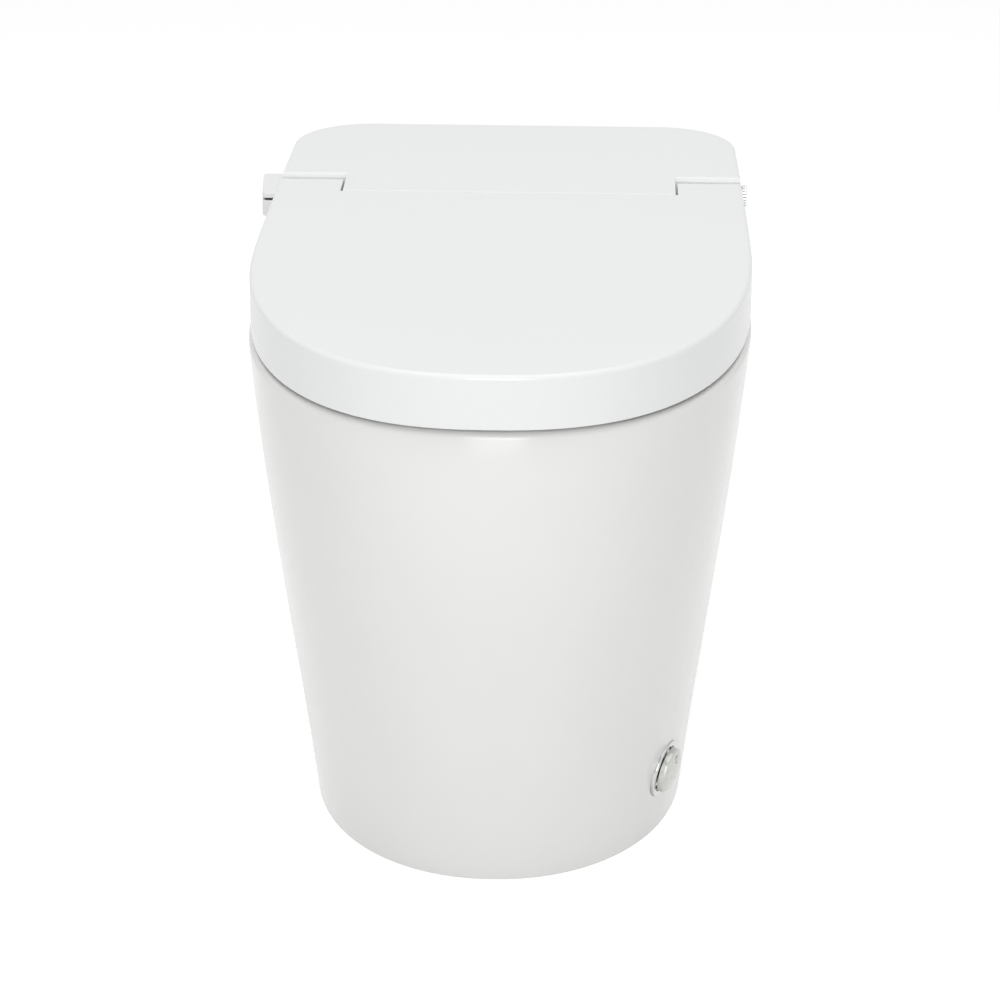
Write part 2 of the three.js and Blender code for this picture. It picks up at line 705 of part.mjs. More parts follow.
function bodyOutside() {
  const rings = [];
  const straightTop = RIM_HEIGHT - RIM_EDGE_ROUND;
  for (let i = 0; i <= BODY_STEPS; i++) {
    const z = Math.min((RIM_HEIGHT * i) / BODY_STEPS, straightTop);
    rings.push(ringD(bodyShape(z), z));
  }
  for (let i = 1; i <= EDGE_STEPS; i++) {
    const angle = (i / EDGE_STEPS) * QUARTER_TURN;
    const z = straightTop + RIM_EDGE_ROUND * Math.sin(angle);
    rings.push(ringD(bodyShape(z, RIM_EDGE_ROUND * (1 - Math.cos(angle))), z));
  }
  return loft(rings);
}

function bodyHollow() {
  const rings = [];
  for (let i = 0; i <= HOLLOW_STEPS; i++) {
    const z = THREE.MathUtils.lerp(-OVERRUN, DECK_BOTTOM, i / HOLLOW_STEPS);
    rings.push(ringD(bodyShape(Math.max(z, 0), CHINA_WALL), z));
  }
  return loft(rings);
}

// The bowl's back has shares of its own: it is steeper than the front, which leaves room for the trap.
function bowlBack(i) {
  return THREE.MathUtils.lerp(SUMP_BACK, BOWL_BACK, BOWL_BACK_SHARES[i]);
}

// The bowl narrows from its mouth to the sump by the shares above.
function bowl(wall) {
  const sumpFront = SUMP_BACK - SUMP_LENGTH;
  const depth = RIM_HEIGHT - SUMP_FLOOR;
  const rings = BOWL_DEPTH_SHARES.map((depthShare, i) => {
    const open = BOWL_OPENNESS_SHARES[i];
    const floorRound = i === BOWL_DEPTH_SHARES.length - 1 ? SUMP_FLOOR_ROUND : 0;
    const shape = {
      halfWidth: THREE.MathUtils.lerp(SUMP_WIDTH / 2, SIDE - BOWL_SIDE_INSET, open) + wall - floorRound,
      front: THREE.MathUtils.lerp(sumpFront, FRONT + BOWL_FRONT_SETBACK, open) - wall + floorRound,
      back: bowlBack(i) + wall - floorRound,
      exponent: BOWL_EXPONENT,
    };
    const overrun = i === 0 && wall === 0 ? OVERRUN : 0;
    return ovalRing(shape, RIM_HEIGHT - depth * depthShare + overrun - wall * depthShare);
  });
  return loft(rings.reverse());
}

// The trap leaves the sump, dips, climbs to its weir and comes down to the floor outlet.
function trapPath() {
  const bendRadius = (OUTLET_Y - TRAP_RISE_Y) / 2;
  const arch = Array.from({ length: CORNER_STEPS }, (_, i) => {
    const angle = 2 * QUARTER_TURN * (1 - i / (CORNER_STEPS - 1));
    return new THREE.Vector3(
      0,
      TRAP_RISE_Y + bendRadius + bendRadius * Math.cos(angle),
      TRAP_BEND_HEIGHT + bendRadius * Math.sin(angle),
    );
  });
  const sumpMiddle = SUMP_BACK - SUMP_LENGTH / 2;
  const dipY = (sumpMiddle + TRAP_RISE_Y) / 2;
  return [
    new THREE.Vector3(0, sumpMiddle, TRAP_INLET_HEIGHT),
    new THREE.Vector3(0, dipY, TRAP_DIP_HEIGHT),
    new THREE.Vector3(0, TRAP_RISE_Y, (TRAP_INLET_HEIGHT + TRAP_BEND_HEIGHT) / 2),
    ...arch,
    new THREE.Vector3(0, OUTLET_Y, TRAP_BEND_HEIGHT / 2),
    new THREE.Vector3(0, OUTLET_Y, COLLAR_HEIGHT / 2),
  ];
}

function trap(radius) {
  return alongCurve(trapPath(), radius, TRAP_SIDES, TRAP_STEPS, "centripetal");
}

// The flat seat and the hole that the foot button is fitted in, in the button's own frame.
function kickPocket() {
  const seat = rod(KICK_RING_RADIUS + FIT, FAR, UNIT_Z, [0, 0, -KICK_SEAT_DEPTH]);
  const hole = rod(KICK_BARREL_RADIUS + FIT, 2 * CHINA_WALL + OVERRUN, UNIT_Z, [0, 0, -2 * CHINA_WALL]);
  return solid(geometryOf(join(seat, hole)).applyMatrix4(kickFrame()));
}

// Where the foot button sits: on the flank, square to it.
function kickFrame() {
  const x = bodyHalfWidthAt(KICK_HEIGHT, KICK_Y);
  const step = CHINA_WALL;
  const alongY = new THREE.Vector3(bodyHalfWidthAt(KICK_HEIGHT, KICK_Y + step) - x, step, 0);
  const alongZ = new THREE.Vector3(bodyHalfWidthAt(KICK_HEIGHT + step, KICK_Y) - x, 0, step);
  const outward = alongY.cross(alongZ).normalize();
  const turn = new THREE.Quaternion().setFromUnitVectors(UNIT_Z, outward);
  const place = new THREE.Vector3(x, KICK_Y, KICK_HEIGHT);
  return new THREE.Matrix4().compose(place, turn, new THREE.Vector3(1, 1, 1));
}

// How far out the flat face lies that the cap of a skirt screw sits on.
function fixingFace() {
  return bodyHalfWidthAt(FIXING_HEIGHT - FIXING_CAP_RADIUS, FIXING_Y);
}

// Cuts that the deck and the bowl share: the bay for the wand.
function wandBay() {
  return box(
    [-BAY_WIDTH / 2, BAY_FRONT, RIM_HEIGHT - BAY_DEPTH],
    [BAY_WIDTH / 2, DECK_OPENING_FRONT + OVERRUN, RIM_HEIGHT + OVERRUN],
  );
}

// Skirt and deck, with a web across the foot that stands on the floor.
function buildSkirt() {
  const web = box([-SIDE, -WEB_THICKNESS / 2, 0], [SIDE, WEB_THICKNESS / 2, WEB_HEIGHT]);
  const outside = bodyOutside();
  const deckOpening = carriedUp(
    roundedRectangle(
      2 * (SIDE - DECK_LEDGE),
      DECK_OPENING_BACK - DECK_OPENING_FRONT,
      DECK_OPENING_CORNER,
      0,
      (DECK_OPENING_FRONT + DECK_OPENING_BACK) / 2,
    ),
    DECK_BOTTOM - OVERRUN,
    RIM_HEIGHT + OVERRUN,
  );
  const outletRoom = rod(
    GASKET_DIAMETER / 2 + FIT,
    WEB_HEIGHT + 2 * OVERRUN,
    UNIT_Z,
    [0, OUTLET_Y, -OVERRUN],
  );
  const screwHoles = rod(
    FIXING_SCREW_RADIUS + FIT,
    2 * FAR,
    UNIT_X,
    [-FAR, FIXING_Y, FIXING_HEIGHT],
    SMALL_SIDES,
  );
  const screwFaces = onBothSides(() =>
    rod(FIXING_CAP_RADIUS + FIT, FAR, UNIT_X, [fixingFace(), FIXING_Y, FIXING_HEIGHT]),
  );
  const anchorHoles = onBothSides(() => unitAnchorHole(DECK_BOTTOM - OVERRUN));
  const shell = join(cut(outside, bodyHollow()), overlap(outside, web));
  const opened = cut(shell, bowl(0), deckOpening, wandBay(), outletRoom);
  place("china_body", cut(opened, kickPocket(), screwHoles, ...screwFaces, ...anchorHoles), "china");
}

// The bowl is cast by itself and joined to the underside of the deck before the firing.
function buildBowl() {
  const belowDeck = box([-FAR, -FAR, 0], [FAR, FAR, DECK_BOTTOM - FIT]);
  const jetHole = rod(FLUSH_JET_RADIUS + FIT, FAR, UNIT_Y, [0, SUMP_BACK, FLUSH_JET_HEIGHT], SMALL_SIDES);
  const cup = cut(overlap(bowl(BOWL_WALL), belowDeck), bowl(0));
  place("china_bowl", cut(cup, trap(TRAP_BORE / 2), wandBay(), jetHole), "china");
}

// The trap with the collar of the floor outlet is the third casting, joined to the back of the bowl.
function buildTrap() {
  const collar = rod(COLLAR_DIAMETER / 2, COLLAR_HEIGHT, UNIT_Z, [0, OUTLET_Y, GASKET_HEIGHT + 2 * FIT]);
  const spigot = rod(TRAP_BORE / 2 + TRAP_WALL, COLLAR_HEIGHT, UNIT_Z, [0, OUTLET_Y, 0], TRAP_SIDES);
  const outletBore = rod(
    TRAP_BORE / 2,
    COLLAR_HEIGHT + OVERRUN,
    UNIT_Z,
    [0, OUTLET_Y, -OVERRUN],
    TRAP_SIDES,
  );
  const pipe = join(trap(TRAP_BORE / 2 + TRAP_WALL), collar, spigot);
  place("china_trap", cut(pipe, trap(TRAP_BORE / 2), outletBore, bowl(BOWL_WALL + FIT)), "china");
}

function buildOutletGasket() {
  const ring = cut(
    rod(GASKET_DIAMETER / 2, GASKET_HEIGHT, UNIT_Z, [0, OUTLET_Y, FIT]),
    rod(GASKET_BORE / 2, GASKET_HEIGHT + 2 * OVERRUN, UNIT_Z, [0, OUTLET_Y, -OVERRUN]),
  );
  place("outlet_gasket", ring, "blackRubber");
}

// An angle bracket on the floor inside the skirt, and the screw that holds the skirt to it.
function buildFloorFixing(side, name) {
  const innerWall = bodyHalfWidthAt(0, FIXING_Y) - CHINA_WALL;
  const outer = innerWall - FIXING_WALL_GAP;
  const inner = outer - FIXING_FOOT_WIDTH;
  const outline = [
    new THREE.Vector2(inner, FIT),
    new THREE.Vector2(outer, FIT),
    new THREE.Vector2(outer, FIXING_UPRIGHT),
    new THREE.Vector2(outer - FIXING_PLATE, FIXING_UPRIGHT),
    new THREE.Vector2(outer - FIXING_PLATE, FIXING_PLATE),
    new THREE.Vector2(inner, FIXING_PLATE),
  ];
  const shape = new THREE.Shape(outline);
  const carried = new THREE.ExtrudeGeometry(shape, { depth: FIXING_LENGTH, bevelEnabled: false });
  carried.rotateX(QUARTER_TURN).translate(0, FIXING_Y + FIXING_LENGTH / 2, 0);
  const footX = (inner + outer - FIXING_PLATE) / 2;
  const footHole = rod(
    FLOOR_SCREW_RADIUS + FIT,
    FIXING_UPRIGHT,
    UNIT_Z,
    [footX, FIXING_Y, -OVERRUN],
    SMALL_SIDES,
  );
  const sideHole = rod(
    FIXING_SCREW_RADIUS + FIT,
    FIXING_FOOT_WIDTH,
    UNIT_X,
    [outer - 2 * FIXING_PLATE, FIXING_Y, FIXING_HEIGHT],
    SMALL_SIDES,
  );
  const bracket = cut(solid(carried), footHole, sideHole);
  const wall = fixingFace();
  const shank = rod(
    FIXING_SCREW_RADIUS,
    wall - outer + 3 * FIXING_PLATE + FIXING_CAP_HEIGHT / 2,
    UNIT_X,
    [outer - 3 * FIXING_PLATE, FIXING_Y, FIXING_HEIGHT],
    SMALL_SIDES,
  );
  const cap = turned(
    [
      [0, FIT],
      [FIXING_CAP_RADIUS, FIT],
      [FIXING_CAP_RADIUS, FIXING_CAP_HEIGHT / 2],
      [FIXING_CAP_RADIUS / 2, FIXING_CAP_HEIGHT],
      [0, FIXING_CAP_HEIGHT],
    ],
    UNIT_X,
    [wall, FIXING_Y, FIXING_HEIGHT],
  );
  place(`floor_bracket_${name}`, onSide(side, bracket), "greyPlastic");
  place(`skirt_screw_${name}`, onSide(side, join(shank, cap)), "steel");
}

// The same solid on the other side of the centre line, with its faces turned back out.
function mirroredInX(made) {
  const geometry = geometryOf(made).scale(-1, 1, 1);
  const index = geometry.index.array;
  for (let i = 0; i < index.length; i += 3) {
    [index[i + 1], index[i + 2]] = [index[i + 2], index[i + 1]];
  }
  return solid(geometry);
}

function onBothSides(make) {
  const right = make();
  return [right, mirroredInX(right)];
}

// A solid made for the right side, or its mirror image for the left.
function onSide(side, made) {
  return side > 0 ? made : mirroredInX(made);
}

// Lid and seat

// The side view of the lid: straight in front of the hinge and round about its axis behind it.
function earProfile(wall, low) {
  const radius = EAR_RADIUS - wall;
  const outline = [new THREE.Vector2(-FAR, low)];
  if (low < HINGE_Z - radius) {
    outline.push(new THREE.Vector2(HINGE_Y, low));
  }
  for (let i = 0; i <= 2 * CORNER_STEPS; i++) {
    const angle = (i / CORNER_STEPS - 1) * QUARTER_TURN;
    outline.push(new THREE.Vector2(HINGE_Y + radius * Math.cos(angle), HINGE_Z + radius * Math.sin(angle)));
  }
  outline.push(new THREE.Vector2(-FAR, HINGE_Z + radius));
  return outline;
}

function hingeHole(from, to) {
  const radius = PIN_RADIUS + PIN_CLEARANCE;
  return rod(radius, to - from, UNIT_X, [from, HINGE_Y, HINGE_Z]);
}

function buildLid() {
  const outside = overlap(
    topBlock(0, LID_BOTTOM, TOP, TOP_EDGE_ROUND),
    carriedAlongX(earProfile(0, LID_BOTTOM), -FAR, FAR),
  );
  const inside = overlap(
    topBlock(LID_WALL, LID_BOTTOM - OVERRUN, TOP - LID_WALL, TOP_EDGE_ROUND - LID_WALL / 2),
    carriedAlongX(earProfile(LID_WALL, LID_BOTTOM - OVERRUN), -FAR, FAR),
  );
  const notch = box([-NOTCH_SIDE, NOTCH_FRONT, LID_BOTTOM - OVERRUN], [NOTCH_SIDE, FAR, TOP + OVERRUN]);
  const discs = onBothSides(() =>
    join(
      rod(EAR_RADIUS - LID_WALL / 2, CHEEK_THICKNESS, UNIT_X, [NOTCH_SIDE, HINGE_Y, HINGE_Z]),
      rod(EAR_RADIUS - LID_WALL / 2, LID_WEB_THICKNESS, UNIT_X, [LID_WEB_START, HINGE_Y, HINGE_Z]),
    ),
  );
  const bosses = lidBumperPlaces().map(([x, y]) =>
    rod(
      LID_BOSS_RADIUS,
      TOP - LID_WALL / 2 - (SEAT_TOP + LID_BUMPER_HEIGHT + 2 * FIT),
      UNIT_Z,
      [x, y, SEAT_TOP + LID_BUMPER_HEIGHT + 2 * FIT],
      SMALL_SIDES,
    ),
  );
  const holes = onBothSides(() => hingeHole(NOTCH_SIDE - OVERRUN, LID_WEB_END + OVERRUN));
  const armDrop = HINGE_Z - SEAT_TOP + SEAT_ARM_HEIGHT;
  const armSlots = onBothSides(() =>
    box(
      [NOTCH_SIDE + CHEEK_THICKNESS, HINGE_Y - OVERRUN, LID_BOTTOM - OVERRUN],
      [LID_WEB_START, HINGE_Y + armDrop + 2 * HINGE_SIDE_GAP, HINGE_Z],
    ),
  );
  const lid = join(cut(outside, inside, notch, ...armSlots), ...discs, ...bosses);
  place("lid", cut(lid, ...holes), "glossPlastic");
}

function lidBumperPlaces() {
  const y = FRONT + BUMPER_FRONT_SETBACK;
  const x = halfWidthAt(topShape(0), y) - BUMPER_FRONT_INSET;
  return [
    [-x, y],
    [x, y],
  ];
}

function buildLidBumpers() {
  ["left", "right"].forEach((name, i) => {
    const [x, y] = lidBumperPlaces()[i];
    const pad = rod(LID_BUMPER_RADIUS, LID_BUMPER_HEIGHT, UNIT_Z, [x, y, SEAT_TOP + FIT], SMALL_SIDES);
    place(`lid_bumper_${name}`, pad, "rubber");
  });
}

function seatHole(outset, z) {
  const shape = {
    halfWidth: SIDE - SEAT_RIM_WIDTH + outset,
    front: FRONT + SEAT_HOLE_FRONT_SETBACK - outset,
    back: BACK - SEAT_HOLE_BACK_SETBACK + outset,
    exponent: SEAT_HOLE_EXPONENT,
  };
  return ovalRing(shape, z);
}

function buildSeat() {
  const inset = LID_WALL + SEAT_SIDE_CLEARANCE;
  const slab = overlap(
    topBlock(inset, SEAT_BOTTOM, SEAT_TOP, SEAT_EDGE_ROUND),
    box([-FAR, -FAR, SEAT_BOTTOM - OVERRUN], [FAR, SEAT_REAR, TOP]),
  );
  const hole = [seatHole(0, SEAT_BOTTOM - OVERRUN)];
  for (let i = 0; i <= EDGE_STEPS; i++) {
    const angle = (i / EDGE_STEPS) * QUARTER_TURN;
    const opened = SEAT_EDGE_ROUND * (1 - Math.cos(angle));
    hole.push(seatHole(opened, SEAT_TOP - SEAT_EDGE_ROUND * (1 - Math.sin(angle))));
  }
  hole.push(seatHole(SEAT_EDGE_ROUND, SEAT_TOP + OVERRUN));
  const arms = onBothSides(() =>
    join(
      box(
        [KNUCKLE_START, SEAT_REAR - 2 * KNUCKLE_RADIUS, SEAT_TOP - SEAT_ARM_HEIGHT],
        [KNUCKLE_END, HINGE_Y, SEAT_TOP - FIT],
      ),
      rod(KNUCKLE_RADIUS, KNUCKLE_WIDTH, UNIT_X, [KNUCKLE_START, HINGE_Y, HINGE_Z]),
    ),
  );
  const holes = onBothSides(() => hingeHole(KNUCKLE_START - OVERRUN, KNUCKLE_END + OVERRUN));
  place("seat_ring", cut(join(cut(slab, loft(hole)), ...arms), ...holes), "glossPlastic");
}

function buildSeatBumpers() {
  const [frontLeft, frontRight] = lidBumperPlaces();
  const rearX = SIDE - BUMPER_REAR_INSET;
  const rearY = BACK - BUMPER_REAR_SETBACK;
  const places = {
    front_left: frontLeft,
    front_right: frontRight,
    rear_left: [-rearX, rearY],
    rear_right: [rearX, rearY],
  };
  for (const [name, [x, y]] of Object.entries(places)) {
    const outline = roundedRectangle(SEAT_BUMPER_WIDTH, SEAT_BUMPER_LENGTH, SEAT_BUMPER_CORNER, x, y);
    place(`seat_bumper_${name}`, carriedUp(outline, RIM_HEIGHT + FIT, SEAT_BOTTOM - FIT), "rubber");
  }
}

// Each hinge pin is held by a steel bracket and a damper that slows the lid or the seat.
function buildHinge(side, name) {
  const pin = rod(PIN_RADIUS, PIN_OUTER_END - PIN_INNER_END, UNIT_X, [PIN_INNER_END, HINGE_Y, HINGE_Z]);
  place(`hinge_pin_${name}`, onSide(side, pin), "steel");
  const damperStart = PIN_INNER_END - FIT - DAMPER_LENGTH;
  const damper = rod(DAMPER_RADIUS, DAMPER_LENGTH, UNIT_X, [damperStart, HINGE_Y, HINGE_Z]);
  place(`soft_close_damper_${name}`, onSide(side, damper), "blackPlastic");
  const bracketStart = PIN_INNER_END + 2 * FIT;
  const plateTop = HINGE_Z + PIN_RADIUS + 2 * BRACKET_THICKNESS;
  const upright = box(
    [bracketStart, HINGE_Y - BRACKET_WIDTH / 2, SHELF],
    [bracketStart + BRACKET_THICKNESS, HINGE_Y + BRACKET_WIDTH / 2, plateTop],
  );
  const foot = box(
    [bracketStart - BRACKET_FOOT, HINGE_Y - BRACKET_WIDTH / 2, SHELF],
    [bracketStart + BRACKET_THICKNESS, HINGE_Y + BRACKET_WIDTH / 2, SHELF + BRACKET_THICKNESS],
  );
  const bore = rod(PIN_RADIUS + FIT, BRACKET_FOOT, UNIT_X, [bracketStart - FIT, HINGE_Y, HINGE_Z]);
  place(`hinge_bracket_${name}`, onSide(side, cut(join(upright, foot), bore)), "steel");
}

// Rear unit

// The side view of the cover behind a front face, whose top edge is round.
function coverProfile(face, wall, low, high) {
  const front = face + wall;
  const radius = COVER_EDGE_ROUND - wall / 2;
  const outline = [
    new THREE.Vector2(FAR, low),
    new THREE.Vector2(FAR, high),
    new THREE.Vector2(front + radius, high),
  ];
  for (let i = 1; i <= CORNER_STEPS; i++) {
    const angle = (i / CORNER_STEPS) * QUARTER_TURN;
    const y = front + radius * (1 - Math.sin(angle));
    outline.push(new THREE.Vector2(y, high - radius * (1 - Math.cos(angle))));
  }
  outline.push(new THREE.Vector2(front, low));
  return outline;
}

function coverRegion(wall, low, high) {
  return join(
    carriedAlongX(coverProfile(SHOULDER_Y, wall, low, high), -FAR, FAR),
    carriedAlongX(coverProfile(TONGUE_FRONT, wall, low, high), -TONGUE_SIDE + wall, TONGUE_SIDE - wall),
  );
}

function buildRearCover() {
  const outside = overlap(topBlock(0, LID_BOTTOM, TOP, TOP_EDGE_ROUND), coverRegion(0, LID_BOTTOM, TOP));
  const ceiling = TOP - COVER_WALL;
  const inside = overlap(
    topBlock(COVER_WALL, LID_BOTTOM - OVERRUN, ceiling, TOP_EDGE_ROUND - COVER_WALL / 2),
    coverRegion(COVER_WALL, LID_BOTTOM - OVERRUN, ceiling),
  );
  const pinHoles = onBothSides(() =>
    rod(PIN_RADIUS + FIT, 2 * COVER_WALL + OVERRUN, UNIT_X, [TONGUE_SIDE - 2 * COVER_WALL, HINGE_Y, HINGE_Z]),
  );
  const inletHole = rod(INLET_RADIUS + FIT, FAR, UNIT_Y, [INLET_X, BACK - 2 * OVERRUN, INLET_Z]);
  const glandHole = rod(GLAND_RADIUS + FIT, FAR, UNIT_Y, [GLAND_X, BACK - 2 * OVERRUN, INLET_Z]);
  const knobHole = rod(
    KNOB_SHAFT_RADIUS + FIT,
    FAR,
    UNIT_X,
    [SIDE - 3 * OVERRUN, KNOB_Y, KNOB_Z],
    SMALL_SIDES,
  );
  const keyMiddle = KEY_BOX_FRONT + KEY_BOX_LENGTH / 2;
  const keyWindow = box(
    [-FAR, keyMiddle - KEY_SWITCH_SIZE, KEY_BOX_TOP - KEY_BOX_HEIGHT + 2 * KEY_BOX_WALL],
    [-SIDE + 3 * OVERRUN, keyMiddle + KEY_SWITCH_SIZE, KEY_BOX_TOP - 2 * KEY_THICKNESS],
  );
  const holes = [...pinHoles, inletHole, glandHole, knobHole, keyWindow];
  place("rear_cover", cut(outside, inside, ...holes), "glossPlastic");
}

function buildUnitPlate() {
  const blank = topBlock(UNIT_PLATE_INSET, PLATE_BOTTOM, PLATE_TOP, FIT);
  const region = join(
    box([-FAR, SHOULDER_Y + UNIT_PLATE_INSET, RIM_HEIGHT], [FAR, FAR, LID_BOTTOM]),
    box(
      [-TONGUE_SIDE + UNIT_PLATE_INSET, TONGUE_FRONT + UNIT_PLATE_INSET, RIM_HEIGHT],
      [TONGUE_SIDE - UNIT_PLATE_INSET, FAR, LID_BOTTOM],
    ),
  );
  const slot = box(
    [-UNIT_SLOT_WIDTH / 2, 0, RIM_HEIGHT - OVERRUN],
    [UNIT_SLOT_WIDTH / 2, UNIT_SLOT_BACK, TOP],
  );
  const anchorHoles = onBothSides(() => unitAnchorHole(RIM_HEIGHT - OVERRUN));
  place("unit_plate", cut(overlap(blank, region), slot, ...anchorHoles), "whitePlastic");
}

function unitAnchorPlace() {
  return [SIDE - UNIT_ANCHOR_INSET, SEAM_Y + UNIT_ANCHOR_BEHIND_SEAM];
}

// The hole for an anchor, from a height up.
function unitAnchorHole(from) {
  return rod(UNIT_ANCHOR_RADIUS + FIT, LID_HEIGHT, UNIT_Z, [...unitAnchorPlace(), from], SMALL_SIDES);
}

// The anchors that clamp the plate to the deck, each with its plug spread out under the china.
function buildUnitAnchor(side, name) {
  const [x, y] = unitAnchorPlace();
  const at = (z) => [side * x, y, z];
  const head = rod(UNIT_ANCHOR_HEAD_RADIUS, UNIT_ANCHOR_HEAD_HEIGHT, UNIT_Z, at(SHELF), HEX_SIDES);
  const plugTop = DECK_BOTTOM - FIT;
  const plugBottom = plugTop - UNIT_ANCHOR_PLUG_HEIGHT;
  const plug = rod(UNIT_ANCHOR_PLUG_RADIUS, UNIT_ANCHOR_PLUG_HEIGHT, UNIT_Z, at(plugBottom));
  const shankBottom = (plugTop + plugBottom) / 2;
  const shank = rod(UNIT_ANCHOR_RADIUS, SHELF - shankBottom, UNIT_Z, at(shankBottom), SMALL_SIDES);
  place(`unit_anchor_${name}`, join(head, shank, plug), "steel");
}

// Wand and its drive, in the tilted frame whose origin is the tip of the wand.
const wandFrame = new THREE.Group();
wandFrame.position.set(0, WAND_TIP_Y, WAND_AXIS_HEIGHT);
wandFrame.rotation.x = THREE.MathUtils.degToRad(WAND_TILT_DEGREES);
wandFrame.updateMatrix();
toilet.add(wandFrame);

// A solid given in the part's frame, seen from the tilted frame.
function inWandFrame(made) {
  return solid(geometryOf(made).applyMatrix4(wandFrame.matrix.clone().invert()));
}

// Everything in front of the back of the bay's panel.
function frontOfBayPanel() {
  return inWandFrame(box([-FAR, 0, 0], [FAR, BAY_PANEL_Y + BAY_PANEL_THICKNESS + FIT, TOP]));
}

const rackPitchHeight = WAND_RADIUS + RACK_ABOVE_WAND + GEAR_MODULE;
const pinionRadius = (GEAR_MODULE * PINION_TEETH) / 2;

// An involute tooth's half angle at a radius, thinned by the backlash.
function toothHalfAngle(radius) {
  const pressure = THREE.MathUtils.degToRad(GEAR_PRESSURE_DEGREES);
  const baseRadius = pinionRadius * Math.cos(pressure);
  const involute = (angle) => Math.tan(angle) - angle;
  const atPitch = QUARTER_TURN / PINION_TEETH - TOOTH_BACKLASH / (2 * pinionRadius);
  const angle = Math.acos(Math.min(1, baseRadius / radius));
  return atPitch + involute(pressure) - involute(angle);
}

function pinionOutline() {
  const outer = pinionRadius + GEAR_MODULE;
  const root = pinionRadius - GEAR_MODULE - TOOTH_FOOT_CLEARANCE;
  const radii = [root, pinionRadius - GEAR_MODULE / 2, pinionRadius, outer];
  const points = [];
  for (let tooth = 0; tooth < PINION_TEETH; tooth++) {
    const middle = (tooth / PINION_TEETH) * 4 * QUARTER_TURN - QUARTER_TURN;
    const flank = (radius, side) => {
      const angle = middle + side * toothHalfAngle(radius);
      return new THREE.Vector2(radius * Math.cos(angle), radius * Math.sin(angle));
    };
    points.push(...radii.map((radius) => flank(radius, -1)));
    points.push(...radii.toReversed().map((radius) => flank(radius, 1)));
  }
  return points;
}

// The rack's teeth stand up from its back; a gap between teeth lies under the pinion's lowest tooth.
function rackOutline() {
  const pitch = Math.PI * GEAR_MODULE;
  const slope = Math.tan(THREE.MathUtils.degToRad(GEAR_PRESSURE_DEGREES));
  const halfAtPitch = pitch / 4 - TOOTH_BACKLASH / 2;
  const tipHeight = rackPitchHeight + GEAR_MODULE - TOOTH_FOOT_CLEARANCE;
  const rootHeight = rackPitchHeight - GEAR_MODULE - TOOTH_FOOT_CLEARANCE;
  const halfTip = halfAtPitch - (tipHeight - rackPitchHeight) * slope;
  const halfRoot = halfAtPitch + (rackPitchHeight - rootHeight) * slope;
  const first = Math.ceil((RACK_START - PINION_Y) / pitch) + 1;
  const last = Math.floor((WAND_LENGTH - PINION_Y) / pitch) - 1;
  const points = [
    new THREE.Vector2(WAND_LENGTH, rootHeight),
    new THREE.Vector2(WAND_LENGTH, RACK_RAIL_BELOW),
    new THREE.Vector2(RACK_START, RACK_RAIL_BELOW),
    new THREE.Vector2(RACK_START, rootHeight),
  ].reverse();
  const teeth = [];
  for (let tooth = last; tooth >= first; tooth--) {
    const middle = PINION_Y + (tooth - 0.5) * pitch;
    teeth.push(
      new THREE.Vector2(middle + halfRoot, rootHeight),
      new THREE.Vector2(middle + halfTip, tipHeight),
      new THREE.Vector2(middle - halfTip, tipHeight),
      new THREE.Vector2(middle - halfRoot, rootHeight),
    );
  }
  return [...points, ...teeth];
}

function buildWand() {
  const shaft = rod(WAND_RADIUS, WAND_LENGTH - WAND_TIP_LENGTH - FIT, UNIT_Y, [0, WAND_TIP_LENGTH + FIT, 0]);
  const rack = carriedAlongX(rackOutline(), -RACK_WIDTH / 2, RACK_WIDTH / 2);
  place("wand_shaft", join(shaft, rack), "whitePlastic", wandFrame);
  const tip = turned(
    [
      [0, 0],
      [WAND_TIP_FACE_RADIUS, 0],
      [WAND_RADIUS, WAND_RADIUS / 2],
      [WAND_RADIUS, WAND_TIP_LENGTH],
      [0, WAND_TIP_LENGTH],
    ],
    UNIT_Y,
    [0, 0, 0],
  );
  const nozzleTop = WAND_RADIUS - WAND_NOZZLE_DEPTH;
  const nozzles = [1, 2].map((step) =>
    rod(
      WAND_NOZZLE_RADIUS,
      WAND_RADIUS,
      UNIT_Z,
      [0, (step * WAND_TIP_LENGTH) / 3 + WAND_NOZZLE_RADIUS, nozzleTop],
      SMALL_SIDES,
    ),
  );
  place("wand_tip", cut(tip, ...nozzles), "glossPlastic", wandFrame);
}

